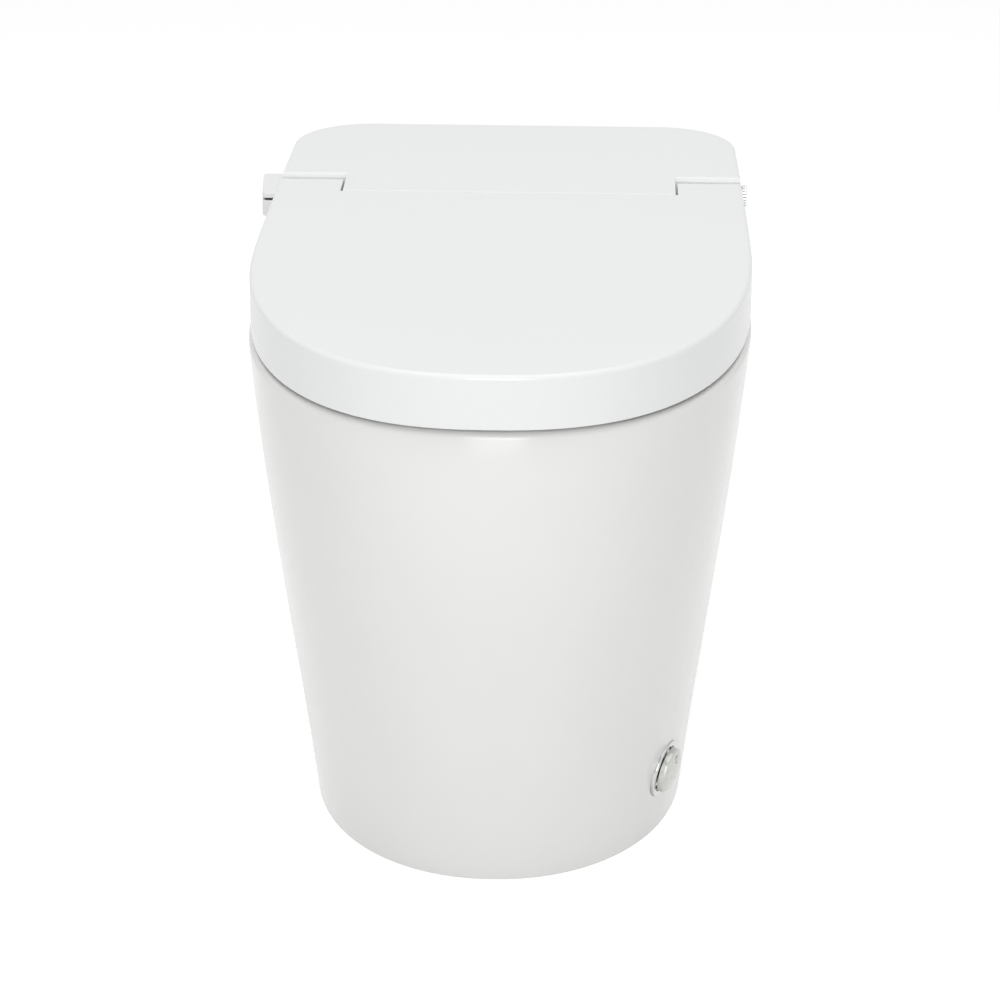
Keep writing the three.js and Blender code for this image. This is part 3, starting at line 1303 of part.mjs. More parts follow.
function buildWandDrive() {
  const clearance = HOUSING_CLEARANCE;
  const half = HOUSING_WIDTH / 2;
  const foot = box(
    [-half, UNIT_SLOT_BACK - HOUSING_FOOT_LENGTH / 2, SHELF],
    [half, UNIT_SLOT_BACK + HOUSING_FOOT_LENGTH / 2, SHELF + HOUSING_FOOT_HEIGHT],
  );
  const block = join(
    box([-half, -WAND_TIP_LENGTH, -HOUSING_BOTTOM], [half, HOUSING_LENGTH, HOUSING_TOP]),
    inWandFrame(foot),
  );
  const bore = rod(WAND_RADIUS + clearance, FAR, UNIT_Y, [0, -2 * WAND_TIP_LENGTH, 0]);
  const rackTop = rackPitchHeight + GEAR_MODULE + clearance;
  const rackSlot = box(
    [-RACK_WIDTH / 2 - clearance, -2 * WAND_TIP_LENGTH, 0],
    [RACK_WIDTH / 2 + clearance, FAR, rackTop],
  );
  const window = rod(
    pinionRadius + GEAR_MODULE + 2 * clearance,
    PINION_WIDTH + 2 * clearance,
    UNIT_X,
    [-PINION_WIDTH / 2 - clearance, PINION_Y, rackPitchHeight + pinionRadius],
  );
  place("wand_housing", cut(block, frontOfBayPanel(), bore, rackSlot, window), "whitePlastic", wandFrame);

  const pinion = new THREE.Group();
  pinion.position.set(0, PINION_Y, rackPitchHeight + pinionRadius);
  wandFrame.add(pinion);
  const gear = join(
    carriedAlongX(pinionOutline(), -PINION_WIDTH / 2, PINION_WIDTH / 2),
    rod(PINION_SHAFT_RADIUS, HOUSING_WIDTH, UNIT_X, [-half, 0, 0], SMALL_SIDES),
  );
  place("wand_pinion", gear, "greyPlastic", pinion);

  const motorStart = -half - FIT - MOTOR_LENGTH;
  const motor = join(
    rod(MOTOR_RADIUS, MOTOR_LENGTH, UNIT_X, [motorStart, 0, 0]),
    box(
      [motorStart, -MOTOR_RADIUS, -MOTOR_RADIUS],
      [motorStart + MOTOR_LENGTH / 4, MOTOR_RADIUS + OVERRUN, MOTOR_RADIUS / 2],
    ),
  );
  place("wand_motor", motor, "steel", pinion);
}

// The flap covers the warm air's window with an overlap all round and hangs from pins at its top.
const flapHalfWidth = BAY_OUTLET_WIDTH / 2 - DUCT_WALL + FLAP_OVERLAP;
const flapTop = WAND_AXIS_HEIGHT + DUCT_HEIGHT / 2 - DUCT_WALL + FLAP_OVERLAP;

// The panel between the bowl and the wand's bay, with a window for the wand, the warm air and the filter,
// and the roof that closes the bay as far as the rear cover.
function buildBayPanel() {
  const bottom = RIM_HEIGHT - BAY_DEPTH + BAY_PANEL_MARGIN;
  const half = BAY_WIDTH / 2 - BAY_PANEL_MARGIN;
  const back = BAY_PANEL_Y + BAY_PANEL_THICKNESS;
  const blank = box([-half, BAY_PANEL_Y, bottom], [half, back, PLATE_BOTTOM + BAY_PANEL_THICKNESS]);
  const wandDrop = (WAND_TIP_Y - BAY_PANEL_Y) * Math.tan(wandFrame.rotation.x);
  const wandWindow = rod(
    WAND_RADIUS + WINDOW_CLEARANCE,
    2 * OVERRUN + BAY_PANEL_THICKNESS,
    UNIT_Y,
    [0, BAY_PANEL_Y - OVERRUN, WAND_AXIS_HEIGHT - wandDrop],
  );
  const rackWindow = box(
    [-RACK_WIDTH / 2 - WINDOW_CLEARANCE, 0, WAND_AXIS_HEIGHT - wandDrop],
    [
      RACK_WIDTH / 2 + WINDOW_CLEARANCE,
      FAR,
      WAND_AXIS_HEIGHT - wandDrop + rackPitchHeight + GEAR_MODULE + WINDOW_CLEARANCE,
    ],
  );
  const ductWindow = box(
    [DRIER_X - BAY_OUTLET_WIDTH / 2 + DUCT_WALL, 0, WAND_AXIS_HEIGHT - DUCT_HEIGHT / 2 + DUCT_WALL],
    [DRIER_X + BAY_OUTLET_WIDTH / 2 - DUCT_WALL, FAR, WAND_AXIS_HEIGHT + DUCT_HEIGHT / 2 - DUCT_WALL],
  );
  const slots = Array.from({ length: GRILLE_SLOTS }, (_, i) => {
    const z = WAND_AXIS_HEIGHT + (i - (GRILLE_SLOTS - 1) / 2) * 2 * GRILLE_SLOT_HEIGHT;
    const reach = BAY_OUTLET_WIDTH / 2 - 2 * DUCT_WALL;
    return box(
      [FILTER_X - reach, 0, z - GRILLE_SLOT_HEIGHT / 2],
      [FILTER_X + reach, FAR, z + GRILLE_SLOT_HEIGHT / 2],
    );
  });
  const lugs = [-1, 1].map((side) => {
    const near = DRIER_X + side * (flapHalfWidth + 2 * FIT);
    const far = near + side * FLAP_LUG_THICKNESS;
    const lugRadius = 2 * FLAP_PIN_RADIUS;
    return box(
      [Math.min(near, far), BAY_PANEL_Y - lugRadius - FLAP_THICKNESS, flapTop - lugRadius],
      [Math.max(near, far), back, flapTop + lugRadius],
    );
  });
  const lugHoles = rod(
    FLAP_PIN_RADIUS,
    FAR,
    UNIT_X,
    [0, BAY_PANEL_Y - FIT - FLAP_THICKNESS / 2, flapTop],
    SMALL_SIDES,
  );
  const roof = box(
    [-BAY_WIDTH / 2 - BAY_ROOF_OVERLAP, BAY_PANEL_Y, PLATE_BOTTOM],
    [BAY_WIDTH / 2 + BAY_ROOF_OVERLAP, BAY_ROOF_BACK, PLATE_BOTTOM + BAY_PANEL_THICKNESS],
  );
  const panel = join(cut(blank, wandWindow, rackWindow, ductWindow, ...slots), roof);
  place("bay_panel", cut(join(panel, ...lugs), lugHoles), "whitePlastic");
}

// Drier: a duct down to its window, a centrifugal fan, its motor and the flap that the air lifts.
function buildDrierDuct() {
  const left = DRIER_X - BAY_OUTLET_WIDTH / 2;
  const right = DRIER_X + BAY_OUTLET_WIDTH / 2;
  const half = DUCT_HEIGHT / 2;
  const outside = box([left, -DUCT_HEIGHT, -half], [right, FAN_Y - FAN_RADIUS / 2 - WAND_TIP_Y, half]);
  const inside = box([left + DUCT_WALL, -FAR, -half + DUCT_WALL], [right - DUCT_WALL, FAR, half - DUCT_WALL]);
  const fanSpace = inWandFrame(rod(FAN_RADIUS + FIT, TOP, UNIT_Z, [FAN_X, FAN_Y, 0]));
  place("drier_duct", cut(outside, inside, frontOfBayPanel(), fanSpace), "greyPlastic", wandFrame);
}

function vanedWheel(radius, height) {
  const disc = rod(radius, IMPELLER_DISC, UNIT_Z, [0, 0, 0]);
  const hub = rod(IMPELLER_HUB_RADIUS, height, UNIT_Z, [0, 0, 0], SMALL_SIDES);
  const blades = Array.from({ length: IMPELLER_VANES }, (_, i) => {
    const blade = new THREE.BoxGeometry(radius - IMPELLER_HUB_RADIUS, VANE_THICKNESS, height);
    blade.translate((radius + IMPELLER_HUB_RADIUS) / 2 - VANE_THICKNESS, 0, height / 2);
    return solid(blade.rotateZ((i / IMPELLER_VANES) * 4 * QUARTER_TURN));
  });
  const shaftHole = rod(FAN_SHAFT_RADIUS + FIT, FAR, UNIT_Z, [0, 0, -OVERRUN], SMALL_SIDES);
  return cut(join(disc, hub, ...blades), shaftHole);
}

// A round fan case with an eye in its lid, a mouth towards the front and a spindle for the wheel.
function fanCase(radius, height, eyeRadius, mouthWidth, mouthX) {
  const outside = rod(radius, height, UNIT_Z, [0, 0, 0]);
  const inside = rod(radius - FAN_WALL, height - 2 * FAN_WALL, UNIT_Z, [0, 0, FAN_WALL]);
  const eye = rod(eyeRadius, FAR, UNIT_Z, [0, 0, height - FAN_WALL - FIT]);
  const mouth = box(
    [mouthX - mouthWidth / 2, -radius - OVERRUN, 2 * FAN_WALL],
    [mouthX + mouthWidth / 2, 0, height - 2 * FAN_WALL],
  );
  const spindle = rod(FAN_SHAFT_RADIUS, height - 3 * FAN_WALL, UNIT_Z, [0, 0, FAN_WALL / 2], SMALL_SIDES);
  return join(cut(outside, inside, eye, mouth), spindle);
}

function buildFan(name, { x, y, radius, height, eyeRadius, wheelRadius, wheelHeight, mouthWidth, mouthX }) {
  const group = new THREE.Group();
  group.position.set(x, y, SHELF);
  toilet.add(group);
  const round = fanCase(radius, height, eyeRadius, mouthWidth, mouthX - x);
  place(`${name}_fan_case`, round, "blackPlastic", group);
  const wheel = place(`${name}_impeller`, vanedWheel(wheelRadius, wheelHeight), "greyPlastic", group);
  wheel.position.z = FAN_WALL + FIT;
}

function buildDrierFlap() {
  const height = DUCT_HEIGHT - 2 * DUCT_WALL + 2 * FLAP_OVERLAP;
  const group = new THREE.Group();
  group.position.set(DRIER_X, BAY_PANEL_Y - FIT - FLAP_THICKNESS / 2, flapTop);
  toilet.add(group);
  const pinHalfLength = flapHalfWidth + 2 * FIT + FLAP_LUG_THICKNESS;
  const leaf = join(
    box([-flapHalfWidth, -FLAP_THICKNESS / 2, -height], [flapHalfWidth, FLAP_THICKNESS / 2, 0]),
    rod(FLAP_PIN_RADIUS - FIT, 2 * pinHalfLength, UNIT_X, [-pinHalfLength, 0, 0], SMALL_SIDES),
  );
  place("drier_flap", leaf, "whitePlastic", group);
}

// Deodoriser: a carbon cartridge behind the grille and a hose to its fan.
function buildFilter() {
  const start = BAY_PANEL_Y + BAY_PANEL_THICKNESS + FIT;
  const half = BAY_OUTLET_WIDTH / 2;
  const body = box(
    [FILTER_X - half, start, WAND_AXIS_HEIGHT - FILTER_HEIGHT / 2],
    [FILTER_X + half, start + FILTER_LENGTH, WAND_AXIS_HEIGHT + FILTER_HEIGHT / 2],
  );
  const ribs = Array.from({ length: GRILLE_SLOTS }, (_, i) => {
    const x = FILTER_X + ((i - (GRILLE_SLOTS - 1) / 2) * BAY_OUTLET_WIDTH) / (GRILLE_SLOTS + 1);
    return box(
      [x - VANE_THICKNESS / 2, start - OVERRUN, WAND_AXIS_HEIGHT - FILTER_HEIGHT / 2 + 2 * DUCT_WALL],
      [x + VANE_THICKNESS / 2, start + DUCT_WALL, WAND_AXIS_HEIGHT + FILTER_HEIGHT / 2 - 2 * DUCT_WALL],
    );
  });
  place("deodoriser_filter", cut(body, ...ribs), "greyPlastic");
}

// The hose rises through the plate's slot, beside the wand's motor, to its fan.
function buildFilterHose() {
  const start = BAY_PANEL_Y + BAY_PANEL_THICKNESS + FILTER_LENGTH + 2 * FIT;
  const endY = SMALL_FAN_Y - SMALL_FAN_RADIUS - FIT;
  const endZ = SHELF + SMALL_FAN_HEIGHT / 2;
  const startX = FILTER_X - BAY_OUTLET_WIDTH / 4;
  const throughX = HOSE_RADIUS + WINDOW_CLEARANCE - UNIT_SLOT_WIDTH / 2;
  const points = [
    new THREE.Vector3(startX, start, WAND_AXIS_HEIGHT),
    new THREE.Vector3(startX, start + HOSE_RADIUS, WAND_AXIS_HEIGHT),
    new THREE.Vector3(throughX, (start + UNIT_SLOT_BACK) / 2, endZ),
    new THREE.Vector3(SMALL_FAN_X, endY - HOSE_RADIUS, endZ),
    new THREE.Vector3(SMALL_FAN_X, endY, endZ),
  ];
  place("deodoriser_hose", alongCurve(points, HOSE_RADIUS, SMALL_SIDES, HOSE_STEPS), "greyPlastic");
}

// Water heater: a tank under the plate with a band round it and two spigots.
function buildHeater() {
  const tank = carriedUp(
    roundedRectangle(HEATER_WIDTH, HEATER_LENGTH, HEATER_CORNER, HEATER_X, HEATER_Y),
    HANGER - HEATER_HEIGHT,
    HANGER,
  );
  const band = carriedUp(
    roundedRectangle(
      HEATER_WIDTH + HEATER_BAND,
      HEATER_LENGTH + HEATER_BAND,
      HEATER_CORNER,
      HEATER_X,
      HEATER_Y,
    ),
    HANGER - HEATER_HEIGHT / 2,
    HANGER - HEATER_HEIGHT / 2 + HEATER_BAND,
  );
  const spigots = [-1, 1].map((side) =>
    rod(
      HEATER_SPIGOT_RADIUS,
      HEATER_WIDTH / 2 + HEATER_SPIGOT_LENGTH,
      UNIT_X,
      [HEATER_X, HEATER_Y + (side * HEATER_LENGTH) / 4, HANGER - HEATER_HEIGHT / 2],
      SMALL_SIDES,
    ),
  );
  place("water_heater", join(tank, band, ...spigots), "whitePlastic");
}

function buildValveBlock() {
  const low = HANGER - VALVE_BLOCK_HEIGHT;
  const block = box(
    [VALVE_BLOCK_X - VALVE_BLOCK_WIDTH / 2, VALVE_BLOCK_Y - VALVE_BLOCK_LENGTH / 2, low],
    [VALVE_BLOCK_X + VALVE_BLOCK_WIDTH / 2, VALVE_BLOCK_Y + VALVE_BLOCK_LENGTH / 2, HANGER],
  );
  const solenoids = Array.from({ length: SOLENOID_COUNT }, (_, i) => {
    const x = VALVE_BLOCK_X + ((i - (SOLENOID_COUNT - 1) / 2) * VALVE_BLOCK_WIDTH) / SOLENOID_COUNT;
    return rod(SOLENOID_RADIUS, SOLENOID_LENGTH, UNIT_Z, [x, VALVE_BLOCK_Y, low - SOLENOID_LENGTH + FIT]);
  });
  place("valve_block", join(block, ...solenoids), "blackPlastic");
}

// How far back the bowl's wall lies at a height, on the straight line between two of its rings.
function bowlBackAt(z) {
  const depthShare = (RIM_HEIGHT - z) / (RIM_HEIGHT - SUMP_FLOOR);
  const below = BOWL_DEPTH_SHARES.findIndex((share) => share >= depthShare);
  const above = below - 1;
  const along = THREE.MathUtils.inverseLerp(BOWL_DEPTH_SHARES[above], BOWL_DEPTH_SHARES[below], depthShare);
  return THREE.MathUtils.lerp(bowlBack(above), bowlBack(below), along);
}

// Flush valve behind the bowl, its hose and the jet that opens into the bowl.
function buildFlush() {
  const bottom = FLUSH_JET_HEIGHT - FLUSH_VALVE_BELOW_HOSE;
  const flangeBottom = (HANGER + FLUSH_JET_HEIGHT) / 2;
  const body = join(
    rod(FLUSH_VALVE_RADIUS, HANGER - bottom, UNIT_Z, [0, FLUSH_VALVE_Y, bottom]),
    rod(FLUSH_VALVE_FLANGE_RADIUS, FLUSH_VALVE_FLANGE_HEIGHT, UNIT_Z, [0, FLUSH_VALVE_Y, flangeBottom]),
  );
  place("flush_valve", body, "whitePlastic");
  const wall = bowlBackAt(FLUSH_JET_HEIGHT);
  const hoseStart = BOWL_BACK + BOWL_WALL + 2 * FLUSH_JET_FLANGE;
  const hoseEnd = FLUSH_VALVE_Y - FLUSH_VALVE_RADIUS - FIT;
  const hose = rod(
    FLUSH_HOSE_RADIUS,
    hoseEnd - hoseStart - FIT,
    UNIT_Y,
    [0, hoseStart + FIT, FLUSH_JET_HEIGHT],
    SMALL_SIDES,
  );
  place("flush_hose", hose, "blackRubber");
  const flangeStart = hoseStart - FLUSH_JET_FLANGE;
  const jet = join(
    rod(FLUSH_JET_RADIUS, hoseStart - wall, UNIT_Y, [0, wall, FLUSH_JET_HEIGHT], SMALL_SIDES),
    rod(FLUSH_JET_FLANGE_RADIUS, FLUSH_JET_FLANGE, UNIT_Y, [0, flangeStart, FLUSH_JET_HEIGHT]),
  );
  place("flush_jet", jet, "brass");
}

function buildBreaker() {
  const dome = turned(
    [
      [0, 0],
      [BREAKER_FOOT_RADIUS, 0],
      [BREAKER_FOOT_RADIUS, BREAKER_HEIGHT / 6],
      [BREAKER_RADIUS, BREAKER_HEIGHT / 4],
      [BREAKER_RADIUS, (BREAKER_HEIGHT * 2) / 3],
      [BREAKER_RADIUS / 2, BREAKER_HEIGHT],
      [0, BREAKER_HEIGHT],
    ],
    UNIT_Z,
    [BREAKER_X, BREAKER_Y, SHELF],
  );
  place("vacuum_breaker", dome, "whitePlastic");
}

function buildControlBoard() {
  const bottom = SHELF + BOARD_STANDOFF;
  const top = bottom + BOARD_THICKNESS;
  const halfX = BOARD_WIDTH / 2;
  const halfY = BOARD_LENGTH / 2;
  const board = box([BOARD_X - halfX, BOARD_Y - halfY, bottom], [BOARD_X + halfX, BOARD_Y + halfY, top]);
  const legs = [-1, 1].flatMap((sideX) =>
    [-1, 1].map((sideY) =>
      rod(
        BOARD_STANDOFF,
        BOARD_STANDOFF + BOARD_THICKNESS / 2,
        UNIT_Z,
        [BOARD_X + sideX * (halfX - BOARD_STANDOFF), BOARD_Y + sideY * (halfY - BOARD_STANDOFF), SHELF],
        SMALL_SIDES,
      ),
    ),
  );
  const chip = (fromX, toX, fromY, toY, height) =>
    box([BOARD_X + fromX, BOARD_Y + fromY, bottom], [BOARD_X + toX, BOARD_Y + toY, top + height]);
  const chips = [
    chip(-halfX / 2, 0, -halfY / 2, -halfY / 4, BOARD_STANDOFF / 2),
    chip(0, halfX / 2, halfY / 4, halfY / 2, 2 * BOARD_STANDOFF),
    chip(BOARD_STANDOFF - halfX, -halfX / 2, -halfY / 8, halfY / 2, BOARD_STANDOFF),
  ];
  place("control_board", join(board, ...legs, ...chips), "board");
}

function buildPowerSupply() {
  const base = box(
    [SUPPLY_X - SUPPLY_WIDTH / 2, SUPPLY_Y - SUPPLY_LENGTH / 2, SHELF],
    [SUPPLY_X + SUPPLY_WIDTH / 2, SUPPLY_Y + SUPPLY_LENGTH / 2, SHELF + SUPPLY_HEIGHT],
  );
  const slots = [-1, 0, 1].map((step) => {
    const x = SUPPLY_X + (step * SUPPLY_WIDTH) / 4;
    return box(
      [x - VANE_THICKNESS, SUPPLY_Y - SUPPLY_LENGTH / 4, SHELF + SUPPLY_HEIGHT / 2],
      [x + VANE_THICKNESS, SUPPLY_Y + SUPPLY_LENGTH / 4, FAR],
    );
  });
  place("power_supply", cut(base, ...slots), "steel");
}

// Water inlet and the gland of the power lead, in the cover's back wall.
function buildInlets() {
  const inlet = join(
    rod(INLET_RADIUS, INLET_LENGTH, UNIT_Y, [INLET_X, BACK - INLET_LENGTH, INLET_Z]),
    rod(INLET_NUT_RADIUS, OVERRUN, UNIT_Y, [INLET_X, BACK - COVER_WALL - FIT - OVERRUN, INLET_Z], HEX_SIDES),
  );
  const inletBore = rod(INLET_RADIUS / 2, INLET_LENGTH, UNIT_Y, [INLET_X, BACK - INLET_LENGTH / 2, INLET_Z]);
  place("water_inlet", cut(inlet, inletBore), "brass");
  const gland = join(
    rod(GLAND_RADIUS, GLAND_LENGTH, UNIT_Y, [GLAND_X, BACK - GLAND_LENGTH, INLET_Z]),
    rod(GLAND_FLANGE_RADIUS, COVER_WALL, UNIT_Y, [GLAND_X, BACK - 2 * COVER_WALL - FIT, INLET_Z]),
  );
  const glandBore = rod(
    GLAND_BORE,
    2 * GLAND_LENGTH + OVERRUN,
    UNIT_Y,
    [GLAND_X, BACK - 2 * GLAND_LENGTH, INLET_Z],
    SMALL_SIDES,
  );
  place("power_gland", cut(gland, glandBore), "blackRubber");
}

// Key box on the left flank of the cover: a tray, and a key that is its whole top.
function keyBoxOutline(inset) {
  const inner = SIDE - 2 * COVER_WALL;
  const front = KEY_BOX_FRONT + inset;
  const back = KEY_BOX_FRONT + KEY_BOX_LENGTH - inset;
  const frontReach = KEY_BOX_REACH - inset;
  const backReach = frontReach + KEY_BOX_FLARE;
  const corner = KEY_BOX_CORNER - inset;
  const outline = [new THREE.Vector2(-inner, front)];
  outline.push(new THREE.Vector2(-inner, back));
  for (let i = 0; i <= CORNER_STEPS; i++) {
    const angle = (i / CORNER_STEPS) * QUARTER_TURN;
    const x = -backReach + corner * (1 - Math.sin(angle));
    outline.push(new THREE.Vector2(x, back - corner * (1 - Math.cos(angle))));
  }
  for (let i = 0; i <= CORNER_STEPS; i++) {
    const angle = (i / CORNER_STEPS) * QUARTER_TURN;
    const x = -frontReach + corner * (1 - Math.cos(angle));
    outline.push(new THREE.Vector2(x, front + corner * (1 - Math.sin(angle))));
  }
  return outline;
}

function buildKeyBox() {
  const coverSkin = topBlock(-FIT, LID_BOTTOM - OVERRUN, TOP, TOP_EDGE_ROUND);
  const bottom = KEY_BOX_TOP - KEY_BOX_HEIGHT;
  const trayTop = KEY_BOX_TOP - KEY_THICKNESS - KEY_SEAM;
  const outside = carriedUp(keyBoxOutline(0), bottom, trayTop);
  const hollow = carriedUp(keyBoxOutline(KEY_BOX_WALL), bottom + KEY_BOX_WALL, FAR);
  place("key_box_tray", cut(outside, hollow, coverSkin), "glossPlastic");

  const keyMiddle = KEY_BOX_FRONT + KEY_BOX_LENGTH / 2;
  const stemX = -(SIDE + KEY_BOX_REACH) / 2;
  const switchTop = bottom + KEY_BOX_WALL + FIT + KEY_SWITCH_SIZE / 2;
  const half = KEY_SWITCH_SIZE / 2;
  const key = join(
    carriedUp(keyBoxOutline(0), KEY_BOX_TOP - KEY_THICKNESS, KEY_BOX_TOP),
    rod(
      KEY_STEM_RADIUS,
      KEY_BOX_TOP - KEY_THICKNESS / 2 - (switchTop + KEY_SEAM),
      UNIT_Z,
      [stemX, keyMiddle, switchTop + KEY_SEAM],
      SMALL_SIDES,
    ),
  );
  place("flush_key", cut(key, coverSkin), "glossPlastic");
  const keySwitch = box(
    [stemX - half, keyMiddle - half, bottom + KEY_BOX_WALL + FIT],
    [stemX + half, keyMiddle + half, switchTop],
  );
  place("key_switch", keySwitch, "blackPlastic");
}

// Water knob on the right flank, with its encoder inside.
function knobOutline() {
  const points = [];
  for (let i = 0; i < 2 * KNOB_RIDGES; i++) {
    const angle = (i / KNOB_RIDGES) * 2 * QUARTER_TURN;
    const radius = i % 2 ? KNOB_RADIUS - KNOB_RIDGE_DEPTH : KNOB_RADIUS;
    points.push(new THREE.Vector2(radius * Math.cos(angle), radius * Math.sin(angle)));
  }
  return points;
}

function buildKnob() {
  const encoderEnd = SIDE - BACK_NARROWING - COVER_WALL - FIT;
  const group = new THREE.Group();
  group.position.set(0, KNOB_Y, KNOB_Z);
  toilet.add(group);
  const cap = carriedAlongX(knobOutline(), KNOB_REACH - KNOB_LENGTH, KNOB_REACH);
  const shaft = rod(
    KNOB_SHAFT_RADIUS,
    KNOB_REACH - encoderEnd - FIT - KNOB_LENGTH / 2,
    UNIT_X,
    [encoderEnd + FIT, 0, 0],
    SMALL_SIDES,
  );
  place("water_knob", join(cap, shaft), "chrome", group);
  const half = ENCODER_SIZE / 2;
  const encoder = box([encoderEnd - ENCODER_LENGTH, -half, -half], [encoderEnd, half, half]);
  place("knob_encoder", encoder, "blackPlastic", group);
}

// Foot button, in its own frame: +Z points out of the china.
function buildKickButton() {
  const frame = new THREE.Group();
  kickFrame().decompose(frame.position, frame.quaternion, frame.scale);
  toilet.add(frame);
  const floor = -KICK_SEAT_DEPTH + FIT;
  const well = floor + KICK_SEAT_DEPTH / 2;
  const barrelBottom = floor - KICK_BARREL_LENGTH;
  const ring = join(
    rod(KICK_RING_RADIUS, KICK_RING_PROUD - floor, UNIT_Z, [0, 0, floor]),
    rod(KICK_BARREL_RADIUS, KICK_BARREL_LENGTH, UNIT_Z, [0, 0, barrelBottom + FIT]),
  );
  const bore = rod(KICK_DOME_RADIUS + 2 * FIT, FAR, UNIT_Z, [0, 0, well]);
  const stemBore = rod(KICK_STEM_RADIUS + FIT, FAR, UNIT_Z, [0, 0, -FAR / 2], SMALL_SIDES);
  const springPocket = rod(SPRING_POCKET_RADIUS, FAR, UNIT_Z, [0, 0, well - SPRING_POCKET_DEPTH]);
  place("kick_button_ring", cut(ring, bore, stemBore, springPocket), "chrome", frame);

  const domeBottom = well + KICK_TRAVEL + FIT;
  const domeRim = domeBottom + KICK_DOME_RIM;
  const crown = Array.from({ length: CORNER_STEPS }, (_, i) => {
    const angle = (i / CORNER_STEPS) * QUARTER_TURN;
    return [KICK_DOME_RADIUS * Math.cos(angle), domeRim + KICK_DOME_CROWN * Math.sin(angle)];
  });
  const stemBottom = barrelBottom - KICK_TRAVEL;
  const dome = turned(
    [
      [0, stemBottom],
      [KICK_STEM_RADIUS, stemBottom],
      [KICK_STEM_RADIUS, domeBottom],
      [KICK_DOME_RADIUS, domeBottom],
      ...crown,
      [0, domeRim + KICK_DOME_CROWN],
    ],
    UNIT_Z,
    [0, 0, 0],
  );
  const lensSeat = domeRim + KICK_DOME_CROWN * Math.sqrt(1 - (KICK_LENS_OFFSET / KICK_DOME_RADIUS) ** 2);
  const lensBottom = lensSeat - KICK_DOME_SKIRT;
  const lensTurn = frame.quaternion.clone().invert();
  const up = UNIT_Z.clone().applyQuaternion(lensTurn).setZ(0).normalize().multiplyScalar(KICK_LENS_OFFSET);
  const lensHole = rod(KICK_LENS_RADIUS + FIT, FAR, UNIT_Z, [up.x, up.y, lensBottom], SMALL_SIDES);
  place("kick_button_dome", cut(dome, lensHole), "satinMetal", frame);
  const lens = rod(
    KICK_LENS_RADIUS,
    KICK_DOME_SKIRT + KICK_LENS_PROUD,
    UNIT_Z,
    [up.x, up.y, lensBottom + FIT],
    SMALL_SIDES,
  );
  place("kick_button_lens", lens, "lens", frame);

  const springBottom = well - SPRING_POCKET_DEPTH + SPRING_WIRE_RADIUS + FIT;
  const springTop = domeBottom - SPRING_WIRE_RADIUS - FIT;
  const spring = springCoil(springBottom, springTop);
  place("kick_button_spring", spring, "steel", frame);

  const housing = cut(
    rod(
      KICK_SWITCH_RADIUS,
      KICK_SWITCH_LENGTH,
      UNIT_Z,
      [0, 0, barrelBottom - KICK_SWITCH_LENGTH + KICK_STEM_RADIUS],
    ),
    rod(KICK_BARREL_RADIUS + FIT, FAR, UNIT_Z, [0, 0, barrelBottom - FIT]),
    rod(KICK_STEM_RADIUS + FIT, FAR, UNIT_Z, [0, 0, stemBottom - KICK_TRAVEL - OVERRUN], SMALL_SIDES),
  );
  place("kick_switch_housing", housing, "blackPlastic", frame);
}

// A helical spring from one height to another.
function springCoil(bottom, top) {
  const count = SPRING_TURNS * SPRING_STEPS;
  const points = Array.from({ length: count + 1 }, (_, i) => {
    const angle = (i / SPRING_STEPS) * 4 * QUARTER_TURN;
    const z = THREE.MathUtils.lerp(bottom, top, i / count);
    return new THREE.Vector3(SPRING_RADIUS * Math.cos(angle), SPRING_RADIUS * Math.sin(angle), z);
  });
  return alongCurve(points, SPRING_WIRE_RADIUS, SPRING_SIDES, count);
}

buildSkirt();
buildBowl();
buildTrap();
buildOutletGasket();
buildFloorFixing(-1, "left");
buildFloorFixing(1, "right");
buildLid();
buildLidBumpers();
buildSeat();
buildSeatBumpers();
buildHinge(-1, "left");
buildHinge(1, "right");
buildRearCover();
buildUnitPlate();
buildUnitAnchor(-1, "left");
buildUnitAnchor(1, "right");

buildWand();
buildWandDrive();
buildBayPanel();
buildDrierDuct();
buildFan("drier", {
  x: FAN_X,
  y: FAN_Y,
  radius: FAN_RADIUS,
  height: FAN_HEIGHT,
  eyeRadius: FAN_EYE_RADIUS,
  wheelRadius: IMPELLER_RADIUS,
  wheelHeight: IMPELLER_HEIGHT,
  mouthWidth: BAY_OUTLET_WIDTH,
  mouthX: DRIER_X,
});
buildDrierFlap();
buildFilter();
buildFilterHose();
buildFan("deodoriser", {
  x: SMALL_FAN_X,
  y: SMALL_FAN_Y,
  radius: SMALL_FAN_RADIUS,
  height: SMALL_FAN_HEIGHT,
  eyeRadius: SMALL_FAN_EYE_RADIUS,
  wheelRadius: SMALL_IMPELLER_RADIUS,
  wheelHeight: SMALL_IMPELLER_HEIGHT,
  mouthWidth: HOSE_RADIUS,
  mouthX: SMALL_FAN_X,
});
buildHeater();
buildValveBlock();
buildFlush();
buildBreaker();
buildControlBoard();
buildPowerSupply();
buildInlets();
buildKeyBox();
buildKnob();
buildKickButton();

export default toilet;
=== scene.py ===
"""A one-piece toilet with a built-in bidet seat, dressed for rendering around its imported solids.

Every size is in metres in the frame of the solids: the front faces -Y, +X is the viewer's right and the
floor is z = 0. Surfaces are built from rings and profiles, carved with each other, and edge-rounded.
"""

import json
import logging
import math
from dataclasses import dataclass, replace
from enum import Enum
from typing import Dict, List, Optional, Sequence, Tuple

import bpy
import numpy as np
from mathutils import Matrix, Vector


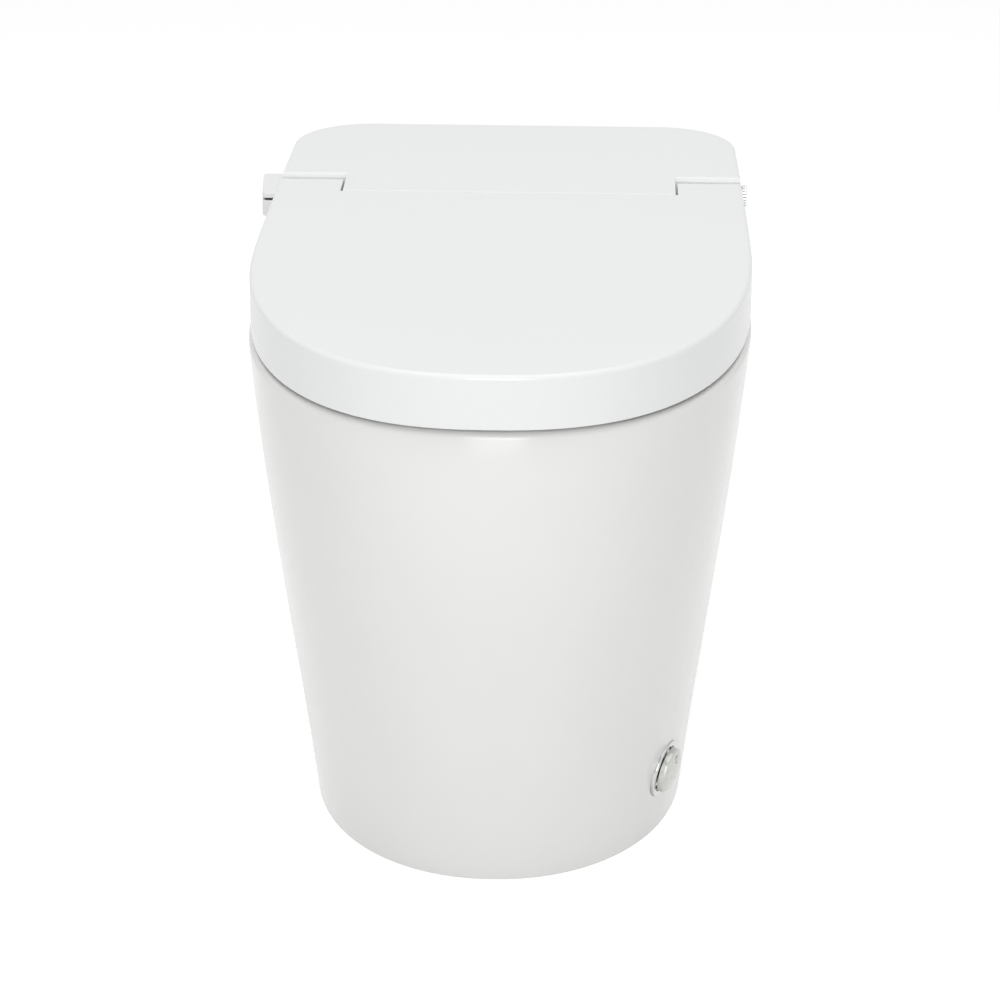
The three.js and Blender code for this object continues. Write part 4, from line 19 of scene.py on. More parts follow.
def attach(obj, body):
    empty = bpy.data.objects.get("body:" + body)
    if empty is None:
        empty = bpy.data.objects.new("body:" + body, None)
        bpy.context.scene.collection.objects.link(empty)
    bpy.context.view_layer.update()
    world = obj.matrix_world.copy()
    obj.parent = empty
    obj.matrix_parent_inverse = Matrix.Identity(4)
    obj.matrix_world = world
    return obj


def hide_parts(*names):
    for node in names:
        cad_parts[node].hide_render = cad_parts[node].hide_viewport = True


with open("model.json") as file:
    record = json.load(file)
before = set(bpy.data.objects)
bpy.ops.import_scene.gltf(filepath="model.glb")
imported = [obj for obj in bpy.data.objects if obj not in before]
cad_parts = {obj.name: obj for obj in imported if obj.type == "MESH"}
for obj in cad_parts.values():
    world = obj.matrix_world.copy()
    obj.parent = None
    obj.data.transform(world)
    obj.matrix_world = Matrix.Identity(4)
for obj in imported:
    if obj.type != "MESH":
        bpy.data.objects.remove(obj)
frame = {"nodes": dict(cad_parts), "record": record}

LOG = logging.getLogger("toilet")
MM = 0.001
QUARTER_TURN = math.pi / 2
FULL_TURN = 2 * math.pi
ALONG_X = (1.0, 0.0, 0.0)
ALONG_Y = (0.0, 1.0, 0.0)
UP = (0.0, 0.0, 1.0)

# How far a cutter passes the face that it cuts, and the length of one that passes everything
OVERRUN = 0.005
FAR = 0.5

# Steps along the curves of an outline and over the round edges of a shape
NOSE_STEPS = 44
FLANK_STEPS = 14
ROUND_STEPS = 10
FOOT_STEPS = 4
EDGE_STEPS = 3

# Rings or points of the larger curves
SKIRT_STEPS = 48
HOLLOW_STEPS = 20
BOWL_STEPS = 40
TRAP_ARCH_STEPS = 5
TRAP_STEPS = 60
EAR_STEPS = 40
RIDGE_STEPS = 12
DOME_STEPS = 20

# Points round a small and a large circle
SMALL_SIDES = 48
LARGE_SIDES = 96

# A flank draws in by this power of the way along it
FLANK_POWER = 1.5

# A dome ends in a face with this share of its radius
POLE_SHARE = 0.01

# Edges that turn by more than this many degrees are rounded, or shaded as edges
EDGE_ANGLE = 38.0

# How strongly large faces set the shading: 50 is plain weighting by area, 100 the strongest
SHADING_WEIGHT = 60

# The sRGB curve is straight up to a knee and a power from there
FULL_BYTE = 255
SRGB_KNEE = 0.04045
SRGB_SLOPE = 12.92
SRGB_OFFSET = 0.055
SRGB_POWER = 2.4

# Finer layers in the noises of a finish, the span that holds most of their values, and the least roughness
PATCH_DETAIL = 3.0
GRAIN_DETAIL = 2.0
WAVE_DETAIL = 1.0
NOISE_LOW = 0.3
NOISE_HIGH = 0.7
LEAST_ROUGHNESS = 0.02

Point = Tuple[float, float, float]
Pair = Tuple[float, float]


class Body(str, Enum):
    """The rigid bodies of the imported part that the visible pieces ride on."""

    BASE = "base"
    SEAT = "seat"
    LID = "lid"
    KEY = "side_key"
    KNOB = "water_knob"
    FOOT_BUTTON = "foot_button"


class Slot(str, Enum):
    """The record's material slots."""

    CHINA = "china"
    GLOSS_PLASTIC = "gloss_plastic"
    WHITE_PLASTIC = "white_plastic"
    GREY_PLASTIC = "grey_plastic"
    BLACK_PLASTIC = "black_plastic"
    RUBBER = "rubber"
    BLACK_RUBBER = "black_rubber"
    CHROME = "chrome"
    SATIN_METAL = "satin_metal"
    STEEL = "steel"
    BRASS = "brass"
    CIRCUIT_BOARD = "circuit_board"
    LENS = "lens"


class Carve(str, Enum):
    """How one shape is combined with another."""

    CUT = "DIFFERENCE"
    JOIN = "UNION"
    KEEP_SHARED = "INTERSECT"


# Outlines and rings


@dataclass(frozen=True)
class DShape:
    """A D seen from above: superellipse nose, flanks that draw in, round back corners.

    Args:
        half_width: half the widest width.
        front: where the nose ends, along Y.
        nose_start: where the nose begins, along Y.
        nose_exponent: the superellipse's exponent.
        back: where the flat back lies, along Y.
        back_half_width: half the width where the back corners begin.
        corner_radius: radius of the back corners.
    """

    half_width: float
    front: float
    nose_start: float
    nose_exponent: float
    back: float
    back_half_width: float
    corner_radius: float

    def inset(self, amount: float) -> "DShape":
        """Draws the outline in by an amount on every side.

        Args:
            amount: how far in, in metres; negative draws it out.

        Returns:
            The smaller shape.
        """
        return replace(
            self,
            half_width=self.half_width - amount,
            front=self.front + amount,
            back=self.back - amount,
            back_half_width=self.back_half_width - amount,
            corner_radius=self.corner_radius - amount,
        )

    def half_width_at(self, y: float) -> float:
        """Gives half the width at a place in front of the back corners.

        Args:
            y: the place along Y.

        Returns:
            Half the width there.
        """
        if y < self.nose_start:
            along = (self.nose_start - y) / (self.nose_start - self.front)
            return self.half_width * (1 - along**self.nose_exponent) ** (1 / self.nose_exponent)
        share = (y - self.nose_start) / (self.back - self.corner_radius - self.nose_start)
        return self.half_width - (self.half_width - self.back_half_width) * share**FLANK_POWER

    def points(self) -> np.ndarray:
        """Samples the outline counter-clockwise from the middle of its nose.

        The nose is x = w sin(a)^(2/n), y = y0 - reach cos(a)^(2/n). The flank draws in by a power of the way
        along it, and the corner is a quarter circle. The left half mirrors the right.

        Returns:
            An (N, 2) array of points.
        """
        power = 2 / self.nose_exponent
        angle = np.linspace(0, QUARTER_TURN, NOSE_STEPS + 1)
        nose_x = self.half_width * np.sin(angle) ** power
        nose_y = self.nose_start - (self.nose_start - self.front) * np.clip(np.cos(angle), 0, 1) ** power
        corner_start = self.back - self.corner_radius
        share = np.linspace(0, 1, FLANK_STEPS + 1)[1:]
        flank_x = self.half_width - (self.half_width - self.back_half_width) * share**FLANK_POWER
        flank_y = self.nose_start + (corner_start - self.nose_start) * share
        turn = np.linspace(0, QUARTER_TURN, FLANK_STEPS + 1)[1:]
        corner_x = self.back_half_width - self.corner_radius * (1 - np.cos(turn))
        corner_y = corner_start + self.corner_radius * np.sin(turn)
        half_x = np.concatenate([nose_x, flank_x, corner_x])
        half_y = np.concatenate([nose_y, flank_y, corner_y])
        half = np.column_stack([half_x, half_y])
        return np.vstack([half, half[:0:-1] * np.array([-1, 1])])


@dataclass(frozen=True)
class Oval:
    """A superellipse seen from above.

    Args:
        half_width: half its width.
        front: its lowest Y.
        back: its highest Y.
        exponent: the superellipse's exponent.
    """

    half_width: float
    front: float
    back: float
    exponent: float

    def grown(self, amount: float) -> "Oval":
        """Draws the outline out by an amount on every side.

        Args:
            amount: how far out, in metres; negative draws it in.

        Returns:
            The larger shape.
        """
        return replace(
            self,
            half_width=self.half_width + amount,
            front=self.front - amount,
            back=self.back + amount,
        )

    def points(self) -> np.ndarray:
        """Samples x = w cos(a)^(2/n), y = middle + reach sin(a)^(2/n) once round, each power with its sign.

        Returns:
            An (N, 2) array of points.
        """
        angle = np.linspace(0, FULL_TURN, LARGE_SIDES, endpoint=False) - QUARTER_TURN
        across, along = np.cos(angle), np.sin(angle)
        power = 2 / self.exponent
        x = self.half_width * np.sign(across) * np.abs(across) ** power
        reach = (self.back - self.front) / 2
        y = (self.front + self.back) / 2 + reach * np.sign(along) * np.abs(along) ** power
        return np.column_stack([x, y])


def lerp(low: float, high: float, share: float) -> float:
    """Goes from one value to another by a share.

    Args:
        low: the value at share 0.
        high: the value at share 1.
        share: how far to go.

    Returns:
        The value there.
    """
    return low + (high - low) * share


def at_height(outline: np.ndarray, z: float) -> np.ndarray:
    """Lifts an outline to a height.

    Args:
        outline: an (N, 2) array of points.
        z: the height.

    Returns:
        An (N, 3) ring.
    """
    return np.column_stack([outline, np.full(len(outline), z)])


def quarter_round(radius: float, steps: int = ROUND_STEPS) -> List[Pair]:
    """Steps over a round edge: it draws in by r (1 - cos a) while it rises by r sin a.

    Args:
        radius: the edge's radius.
        steps: number of steps.

    Returns:
        Pairs of how far in and how far up, the first of them zero.
    """
    angle = np.linspace(0, QUARTER_TURN, steps)
    return list(zip(radius * (1 - np.cos(angle)), radius * np.sin(angle)))


def half_ellipse(radius: float, foot: float, rise: float) -> List[Pair]:
    """Draws a dome from the side: its radius falls by cos a while it rises by sin a.

    Args:
        radius: radius of its foot.
        foot: height of its foot.
        rise: how far it rises.

    Returns:
        Radius and height of each ring, up to one that all but closes the top.
    """
    angle = np.linspace(0, QUARTER_TURN, DOME_STEPS + 1)[:-1]
    rings = list(zip(radius * np.cos(angle), foot + rise * np.sin(angle)))
    return rings + [(radius * POLE_SHARE, foot + rise)]


def circle_points(radius: float, count: int) -> np.ndarray:
    """Samples a circle about zero.

    Args:
        radius: its radius.
        count: number of points.

    Returns:
        A (count, 2) array of points.
    """
    angle = np.linspace(0, FULL_TURN, count, endpoint=False)
    return np.column_stack([np.cos(angle), np.sin(angle)]) * radius


def rounded_rectangle(half_width: float, front: float, back: float, radius: float) -> np.ndarray:
    """Samples a rectangle whose corners are quarter circles, counter-clockwise.

    Args:
        half_width: half its width.
        front: its lowest Y.
        back: its highest Y.
        radius: radius of its corners.

    Returns:
        An (N, 2) array of points.
    """
    angle = np.linspace(0, QUARTER_TURN, ROUND_STEPS)
    arc = np.column_stack([np.cos(angle), np.sin(angle)]) * radius
    middle = np.array([0.0, (front + back) / 2])
    right_back = arc + np.array([half_width - radius, back - radius])
    left_back = (right_back * np.array([-1, 1]))[::-1]
    left_front = (right_back - middle) * -1 + middle
    right_front = (left_back - middle) * -1 + middle
    return np.vstack([right_back, left_back, left_front, right_front])


def smooth_curve(at: np.ndarray, xs: np.ndarray, ys: np.ndarray) -> np.ndarray:
    """Draws a smooth curve through points.

    Each span is a cubic whose end slopes are the mean of the slopes on either side, and zero where the curve
    turns back. It sums both end values and both end slopes, each by its Hermite weight at the share t.

    Args:
        at: where the curve is wanted.
        xs: places of the points.
        ys: values at the points, in one or more columns.

    Returns:
        The values at those places, in as many columns.
    """
    slopes = np.diff(ys, axis=0) / np.diff(xs)[:, None]
    before, after = slopes[:-1], slopes[1:]
    inner = np.where(before * after > 0, (before + after) / 2, 0.0)
    ends = np.vstack([slopes[:1], inner, slopes[-1:]])
    span = np.clip(np.searchsorted(xs, at, side="right") - 1, 0, len(xs) - 2)
    width = (xs[span + 1] - xs[span])[:, None]
    t = (at - xs[span])[:, None] / width
    return (
        ys[span] * (2 * t**3 - 3 * t**2 + 1)
        + ys[span + 1] * (3 * t**2 - 2 * t**3)
        + width * ends[span] * (t**3 - 2 * t**2 + t)
        + width * ends[span + 1] * (t**3 - t**2)
    )


# Mesh tools


def new_object(name: str, vertices: np.ndarray, faces: List[Sequence[int]]) -> bpy.types.Object:
    """Makes a mesh object at the origin.

    Args:
        name: the object's name.
        vertices: an (N, 3) array of points.
        faces: the numbers of each face's points.

    Returns:
        The new object.
    """
    mesh = bpy.data.meshes.new(name)
    mesh.from_pydata(np.asarray(vertices, float).tolist(), [], faces)
    mesh.validate()
    mesh.update()
    made = bpy.data.objects.new(name, mesh)
    bpy.context.scene.collection.objects.link(made)
    return made


def loft(name: str, rings: Sequence[np.ndarray]) -> bpy.types.Object:
    """Makes a closed skin of quads through rings, with a flat face on the first and the last.

    Args:
        name: the object's name.
        rings: (N, 3) rings of equally many points, from the lowest up.

    Returns:
        The new object.
    """
    count = len(rings[0])
    here = np.arange(count)
    after = (here + 1) % count
    faces: List[Sequence[int]] = [here[::-1].tolist()]
    for level in range(len(rings) - 1):
        low = level * count
        high = low + count
        quads = np.column_stack([low + here, low + after, high + after, high + here])
        faces.extend(quads.tolist())
    faces.append(((len(rings) - 1) * count + here).tolist())
    return new_object(name, np.vstack(rings), faces)


def upright(name: str, outline: np.ndarray, low: float, high: float) -> bpy.types.Object:
    """Carries an outline straight up.

    Args:
        name: the object's name.
        outline: an (N, 2) array of X and Y, counter-clockwise from above.
        low: height of its bottom.
        high: height of its top.

    Returns:
        The new object.
    """
    return loft(name, [at_height(outline, low), at_height(outline, high)])


def sideways(name: str, outline: np.ndarray, reach: float) -> bpy.types.Object:
    """Carries an outline straight across the object, from -reach to reach.

    Args:
        name: the object's name.
        outline: an (N, 2) array of Y and Z, counter-clockwise from +X.
        reach: half the width.

    Returns:
        The new object.
    """
    rings = [np.column_stack([np.full(len(outline), x), outline]) for x in (-reach, reach)]
    return loft(name, rings)


def box(name: str, low: Point, high: Point) -> bpy.types.Object:
    """Makes a box to carve with.

    Args:
        name: the object's name.
        low: its lowest corner.
        high: its highest corner.

    Returns:
        The new object.
    """
    outline = np.array([[low[0], low[1]], [high[0], low[1]], [high[0], high[1]], [low[0], high[1]]])
    return upright(name, outline, low[2], high[2])


def turned(
    name: str, profile: Sequence[Pair], place: Matrix, sides: int = LARGE_SIDES
) -> bpy.types.Object:
    """Turns a profile about the local Z axis.

    Args:
        name: the object's name.
        profile: radius and height of each ring, from the bottom up on the outside.
        place: where the local axes lie.
        sides: points on each ring.

    Returns:
        The new object.
    """
    rings = [at_height(circle_points(radius, sides), height) for radius, height in profile]
    made = loft(name, rings)
    made.data.transform(place)
    return made


def rod(
    name: str, radius: float, start: Point, direction: Point, length: float, sides: int = SMALL_SIDES
) -> bpy.types.Object:
    """Makes a round bar.

    Args:
        name: the object's name.
        radius: its radius.
        start: the middle of its first end.
        direction: where it points.
        length: its length.
        sides: points round it.

    Returns:
        The new object.
    """
    turn = Vector(direction).to_track_quat("Z", "Y").to_matrix().to_4x4()
    return turned(name, [(radius, 0.0), (radius, length)], Matrix.Translation(Vector(start)) @ turn, sides)


def bake(piece: bpy.types.Object) -> bpy.types.Object:
    """Turns a piece's modifiers into its mesh.

    Args:
        piece: the piece with its modifiers.

    Returns:
        The piece without them.
    """
    graph = bpy.context.evaluated_depsgraph_get()
    mesh = bpy.data.meshes.new_from_object(piece.evaluated_get(graph), depsgraph=graph)
    piece.modifiers.clear()
    old = piece.data
    piece.data = mesh
    mesh.name = piece.name
    bpy.data.meshes.remove(old)
    return piece


def combine(
    base: bpy.types.Object, carve: Carve, others: Sequence[bpy.types.Object]
) -> bpy.types.Object:
    """Carves, joins or overlaps a piece with others, which are used up.

    Args:
        base: the piece that stays.
        carve: how they are combined.
        others: the pieces to combine it with, in turn.

    Returns:
        The piece with its new mesh.
    """
    for other in others:
        modifier = base.modifiers.new(other.name, "BOOLEAN")
        modifier.operation = carve.value
        modifier.solver = "EXACT"
        modifier.object = other
    bake(base)
    for other in others:
        bpy.data.objects.remove(other)
    return base


def round_edges(piece: bpy.types.Object, width: float, segments: int = EDGE_STEPS) -> bpy.types.Object:
    """Rounds every sharp edge and lets the large faces set the shading.

    Args:
        piece: the piece to round.
        width: how wide the rounding is.
        segments: steps across it.

    Returns:
        The piece with its new mesh.
    """
    bevel = piece.modifiers.new("Rounding", "BEVEL")
    bevel.width = width
    bevel.segments = segments
    bevel.limit_method = "ANGLE"
    bevel.angle_limit = math.radians(EDGE_ANGLE)
    bevel.use_clamp_overlap = True
    shading = piece.modifiers.new("Shading", "WEIGHTED_NORMAL")
    shading.weight = SHADING_WEIGHT
    shading.keep_sharp = True
    piece.data.shade_smooth()
    return bake(piece)


def shade_turned(piece: bpy.types.Object) -> None:
    """Shades a turned piece smooth but for its sharp edges.

    Args:
        piece: the piece.
    """
    piece.data.shade_smooth()
    piece.data.set_sharp_from_angle(angle=math.radians(EDGE_ANGLE))


def on_both_sides(start: float, end: float) -> List[Tuple[str, float, float]]:
    """Mirrors a span across the middle plane.

    Args:
        start: one end of the span, along +X.
        end: the other end.

    Returns:
        For each side its name, and the span's lowest and highest X.
    """
    return [("left", -max(start, end), -min(start, end)), ("right", min(start, end), max(start, end))]


def flare(
    name: str, opening: Oval, top: float, radius: float, straight: Sequence[float] = ()
) -> bpy.types.Object:
    """Makes a cutter that widens an opening into a round edge at its top.

    Args:
        name: the object's name.
        opening: the opening below the edge.
        top: height of the face that it opens in.
        radius: the edge's radius.
        straight: heights of plain rings below the edge.

    Returns:
        The new object.
    """
    rings = [at_height(opening.points(), z) for z in straight]
    for outward, rise in quarter_round(radius):
        rings.append(at_height(opening.grown(outward).points(), top - radius + rise))
    rings.append(at_height(opening.grown(radius).points(), top + OVERRUN))
    return loft(name, rings)


# Finishes


def linear_color(code: str) -> Tuple[float, float, float, float]:
    """Turns an sRGB colour into the linear colour that a shader takes.

    Args:
        code: the colour as #RRGGBB.

    Returns:
        Linear red, green and blue, and a full alpha.
    """
    channels = []
    for byte in bytes.fromhex(code[1:]):
        value = byte / FULL_BYTE
        curved = ((value + SRGB_OFFSET) / (1 + SRGB_OFFSET)) ** SRGB_POWER
        channels.append(value / SRGB_SLOPE if value <= SRGB_KNEE else curved)
    return (channels[0], channels[1], channels[2], 1.0)


class Graph:
    """The node graph of one new material, or of the world when its tree is given."""

    def __init__(self, name: str, tree: Optional[bpy.types.NodeTree] = None) -> None:
        """Starts the graph.

        Args:
            name: the new material's name.
            tree: a tree to work in, in place of a new material's.
        """
        self.material: Optional[bpy.types.Material] = None
        if tree is None:
            self.material = bpy.data.materials.new(name)
            self.material.use_nodes = True
            tree = self.material.node_tree
            tree.nodes.clear()
        self._tree = tree

    def node(self, kind: str, inputs: Optional[Dict] = None, **settings: object) -> bpy.types.Node:
        """Adds a node.

        Args:
            kind: the node's type name.
            inputs: socket name or number to a value, or to the output socket to link.
            settings: the node's own properties.

        Returns:
            The new node.
        """
        made = self._tree.nodes.new(kind)
        for key, value in settings.items():
            setattr(made, key, value)
        for key, value in (inputs or {}).items():
            socket = made.inputs[key]
            if isinstance(value, bpy.types.NodeSocket):
                self._tree.links.new(value, socket)
            else:
                socket.default_value = value
        return made

    def seen_rays(self) -> bpy.types.NodeSocket:
        """Tells what the camera sees, straight or in a shiny or clear surface.

        Returns:
            A socket that is one there and zero elsewhere: the largest of the three kinds of ray.
        """
        rays = self.node("ShaderNodeLightPath").outputs
        bent = self.node(
            "ShaderNodeMath",
            {0: rays["Is Glossy Ray"], 1: rays["Is Transmission Ray"]},
            operation="MAXIMUM",
        )
        seen = self.node(
            "ShaderNodeMath", {0: rays["Is Camera Ray"], 1: bent.outputs[0]}, operation="MAXIMUM"
        )
        return seen.outputs[0]


@dataclass(frozen=True)
class Finish:
    """How a surface looks.

    Args:
        name: the material's name, for what the real one is.
        color: sRGB hex colour.
        tint: sRGB hex colour that patches lean to.
        roughness: the middle of the roughness.
        patch_mm: size of those patches.
        grain_mm: size of the fine grain of the surface.
        grain_depth_mm: height of the fine grain.
        spread: how far the roughness swings about its middle.
        ior: index of refraction.
        metallic: 1 for bare metal.
        wave_mm: size of the slow waves of the surface.
        wave_depth_mm: height of the slow waves.
        stretch: how much longer the grain is along Y than across it.
        transmission: 1 for clear.
    """

    name: str
    color: str
    tint: str
    roughness: float
    patch_mm: float
    grain_mm: float
    grain_depth_mm: float
    spread: float = 0.03
    ior: float = 1.5
    metallic: float = 0.0
    wave_mm: float = 45.0
    wave_depth_mm: float = 0.0
    stretch: float = 1.0
    transmission: float = 0.0

    def build(self) -> bpy.types.Material:
        """Builds the material.

        Patches of a large noise lean the colour towards the tint and swing the roughness. The bump adds a
        fine grain to slow waves, each at its real size.

        Returns:
            The new material.
        """
        graph = Graph(self.name)
        place = graph.node("ShaderNodeTexCoord").outputs["Object"]
        stretched = graph.node("ShaderNodeMapping", {"Vector": place, "Scale": (1, 1 / self.stretch, 1)})
        patches = self._noise(graph, place, self.patch_mm, PATCH_DETAIL)
        colors = {"Factor": patches, "A": linear_color(self.color), "B": linear_color(self.tint)}
        color = graph.node("ShaderNodeMix", colors, data_type="RGBA")
        roughness = graph.node(
            "ShaderNodeMapRange",
            {
                "Value": patches,
                "From Min": NOISE_LOW,
                "From Max": NOISE_HIGH,
                "To Min": max(self.roughness - self.spread, LEAST_ROUGHNESS),
                "To Max": self.roughness + self.spread,
            },
        )
        wave = self._noise(graph, place, self.wave_mm, WAVE_DETAIL)
        wave_bump = graph.node(
            "ShaderNodeBump", {"Height": wave, "Distance": self.wave_depth_mm * MM, "Strength": 1.0}
        )
        grain = self._noise(graph, stretched.outputs["Vector"], self.grain_mm, GRAIN_DETAIL)
        bump = graph.node(
            "ShaderNodeBump",
            {
                "Height": grain,
                "Distance": self.grain_depth_mm * MM,
                "Strength": 1.0,
                "Normal": wave_bump.outputs["Normal"],
            },
        )
        shader = graph.node(
            "ShaderNodeBsdfPrincipled",
            {
                "Base Color": color.outputs[2],
                "Roughness": roughness.outputs["Result"],
                "Metallic": self.metallic,
                "IOR": self.ior,
                "Transmission Weight": self.transmission,
                "Normal": bump.outputs["Normal"],
            },
        )
        graph.node("ShaderNodeOutputMaterial", {"Surface": shader.outputs["BSDF"]})
        return graph.material

    def _noise(
        self, graph: Graph, place: bpy.types.NodeSocket, size_mm: float, detail: float
    ) -> bpy.types.NodeSocket:
        """Adds a noise whose features have a real size, with some finer layers, and gives its value."""
        inputs = {"Vector": place, "Scale": 1 / (size_mm * MM), "Detail": detail}
        return graph.node("ShaderNodeTexNoise", inputs).outputs["Fac"]


FINISHES = {
    # Vitreous china, slip-cast, glazed and fired: a warm white under deep gloss, with the faint orange peel
    # and slow waves of a glaze that flowed
    Slot.CHINA: Finish(
        "fired_glaze_on_vitreous_china", "#ECECEA", "#F0F0EE", 0.2, ior=1.5, patch_mm=90, grain_mm=1.2,
        grain_depth_mm=0.004, wave_mm=40, wave_depth_mm=0.05,
    ),
    # ABS, injection-moulded in a polished tool: a cooler white than the glaze, with a softer gloss and
    # slight sink over its ribs
    Slot.GLOSS_PLASTIC: Finish(
        "gloss_moulded_white_abs", "#F1F3F2", "#F3F4F4", 0.24, ior=1.54, patch_mm=120, grain_mm=0.5,
        grain_depth_mm=0.003, wave_mm=60, wave_depth_mm=0.03,
    ),
    # Polypropylene, injection-moulded in a sparked tool: dull and slightly waxy, with an even fine grain
    Slot.WHITE_PLASTIC: Finish(
        "textured_moulded_white_polypropylene", "#E6E8E7", "#DFE2E1", 0.45, ior=1.49, patch_mm=40,
        grain_mm=0.4, grain_depth_mm=0.02,
    ),
    # Glass-filled nylon, injection-moulded: mid grey and dull, mottled where the fibres come to the skin
    Slot.GREY_PLASTIC: Finish(
        "moulded_glass_filled_grey_nylon", "#8F9496", "#858A8D", 0.5, ior=1.53, patch_mm=30, grain_mm=0.4,
        grain_depth_mm=0.02,
    ),
    # Polycarbonate and ABS blend, injection-moulded: near black and dull, with an even fine grain
    Slot.BLACK_PLASTIC: Finish(
        "textured_moulded_black_polycarbonate_blend", "#26282A", "#303234", 0.45, ior=1.55, patch_mm=30,
        grain_mm=0.4, grain_depth_mm=0.02,
    ),
    # Silicone rubber, pressed: light grey, no gloss, and bloom in small clouds
    Slot.RUBBER: Finish(
        "pressed_grey_silicone_rubber", "#B9BCBB", "#A9ADAC", 0.75, ior=1.41, patch_mm=12, grain_mm=0.3,
        grain_depth_mm=0.03,
    ),
    # EPDM rubber, extruded or pressed: soot black that has bloomed to a dusty grey in places
    Slot.BLACK_RUBBER: Finish(
        "pressed_black_epdm_rubber", "#2B2B2B", "#393939", 0.75, ior=1.48, patch_mm=12, grain_mm=0.3,
        grain_depth_mm=0.03,
    ),
    # Chromium, plated on polished plastic: a bright mirror with hardly any texture
    Slot.CHROME: Finish(
        "polished_chrome_plating", "#C9CBC9", "#BFC2C1", 0.08, metallic=1.0, spread=0.02, patch_mm=8,
        grain_mm=0.3, grain_depth_mm=0.001,
    ),
    # Nickel, plated and brushed: a soft grey shine drawn out along the brushing; its lines are 0.12 mm
    # apart, coarser than real ones, so that they still show
    Slot.SATIN_METAL: Finish(
        "brushed_nickel_plating", "#C6C7C2", "#B9BAB6", 0.3, metallic=1.0, spread=0.05, patch_mm=6,
        grain_mm=0.12, grain_depth_mm=0.003, stretch=12.0,
    ),
    # Stainless steel, cold-rolled: grey and dull, with rolling lines and uneven shine
    Slot.STEEL: Finish(
        "cold_rolled_stainless_steel", "#A4A6A8", "#95989A", 0.35, metallic=1.0, spread=0.08, patch_mm=10,
        grain_mm=0.2, grain_depth_mm=0.006, stretch=8.0,
    ),
    # Brass, turned from bar: warm yellow with fine turning lines, going brown in places
    Slot.BRASS: Finish(
        "turned_bar_brass", "#B79A5B", "#A5884C", 0.3, metallic=1.0, spread=0.06, patch_mm=10, grain_mm=0.2,
        grain_depth_mm=0.005, stretch=6.0,
    ),
    # Glass-fibre laminate under solder resist: green with a half gloss over the weave, 0.8 mm a thread pair
    Slot.CIRCUIT_BOARD: Finish(
        "resist_coated_glass_fibre_laminate", "#1F5A3C", "#2B6B48", 0.5, ior=1.55, patch_mm=6, grain_mm=0.8,
        grain_depth_mm=0.03,
    ),
    # Polycarbonate, injection-moulded and frosted inside: a pale clear bead with a hard glint
    Slot.LENS: Finish(
        "moulded_frosted_polycarbonate", "#DFE3E0", "#E8ECEA", 0.08, ior=1.58, patch_mm=4, grain_mm=0.3,
        grain_depth_mm=0.001, transmission=0.35,
    ),
}


class Paints:
    """The built materials by slot."""

    def __init__(self) -> None:
        """Builds every finish once."""
        self._materials = {slot: finish.build() for slot, finish in FINISHES.items()}

    def put(self, piece: bpy.types.Object, slot: Slot) -> None:
        """Gives a piece or solid the material of a slot and nothing else."""
        piece.data.materials.clear()
        piece.data.materials.append(self._materials[slot])


PAINTS = Paints()


def finish_piece(piece: bpy.types.Object, slot: Slot, body: Body, *nodes: str) -> None:
    """Paints a piece with the material of its slot, lets it ride on its body and hides the solids that it
    stands for.

    Args:
        piece: the finished piece.
        slot: the record's material slot.
        body: the body that it rides on.
        nodes: the solids that it replaces.
    """
    PAINTS.put(piece, slot)
    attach(piece, body.value)
    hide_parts(*nodes)
    LOG.info("%s: %d faces", piece.name, len(piece.data.polygons))


def paint_solids() -> None:
    """Gives every carried-over solid the material of its slot in the record."""
    for part in frame["record"]["subparts"]:
        PAINTS.put(frame["nodes"][part["node"]], Slot(part["material_slot"]))


# Glazed body


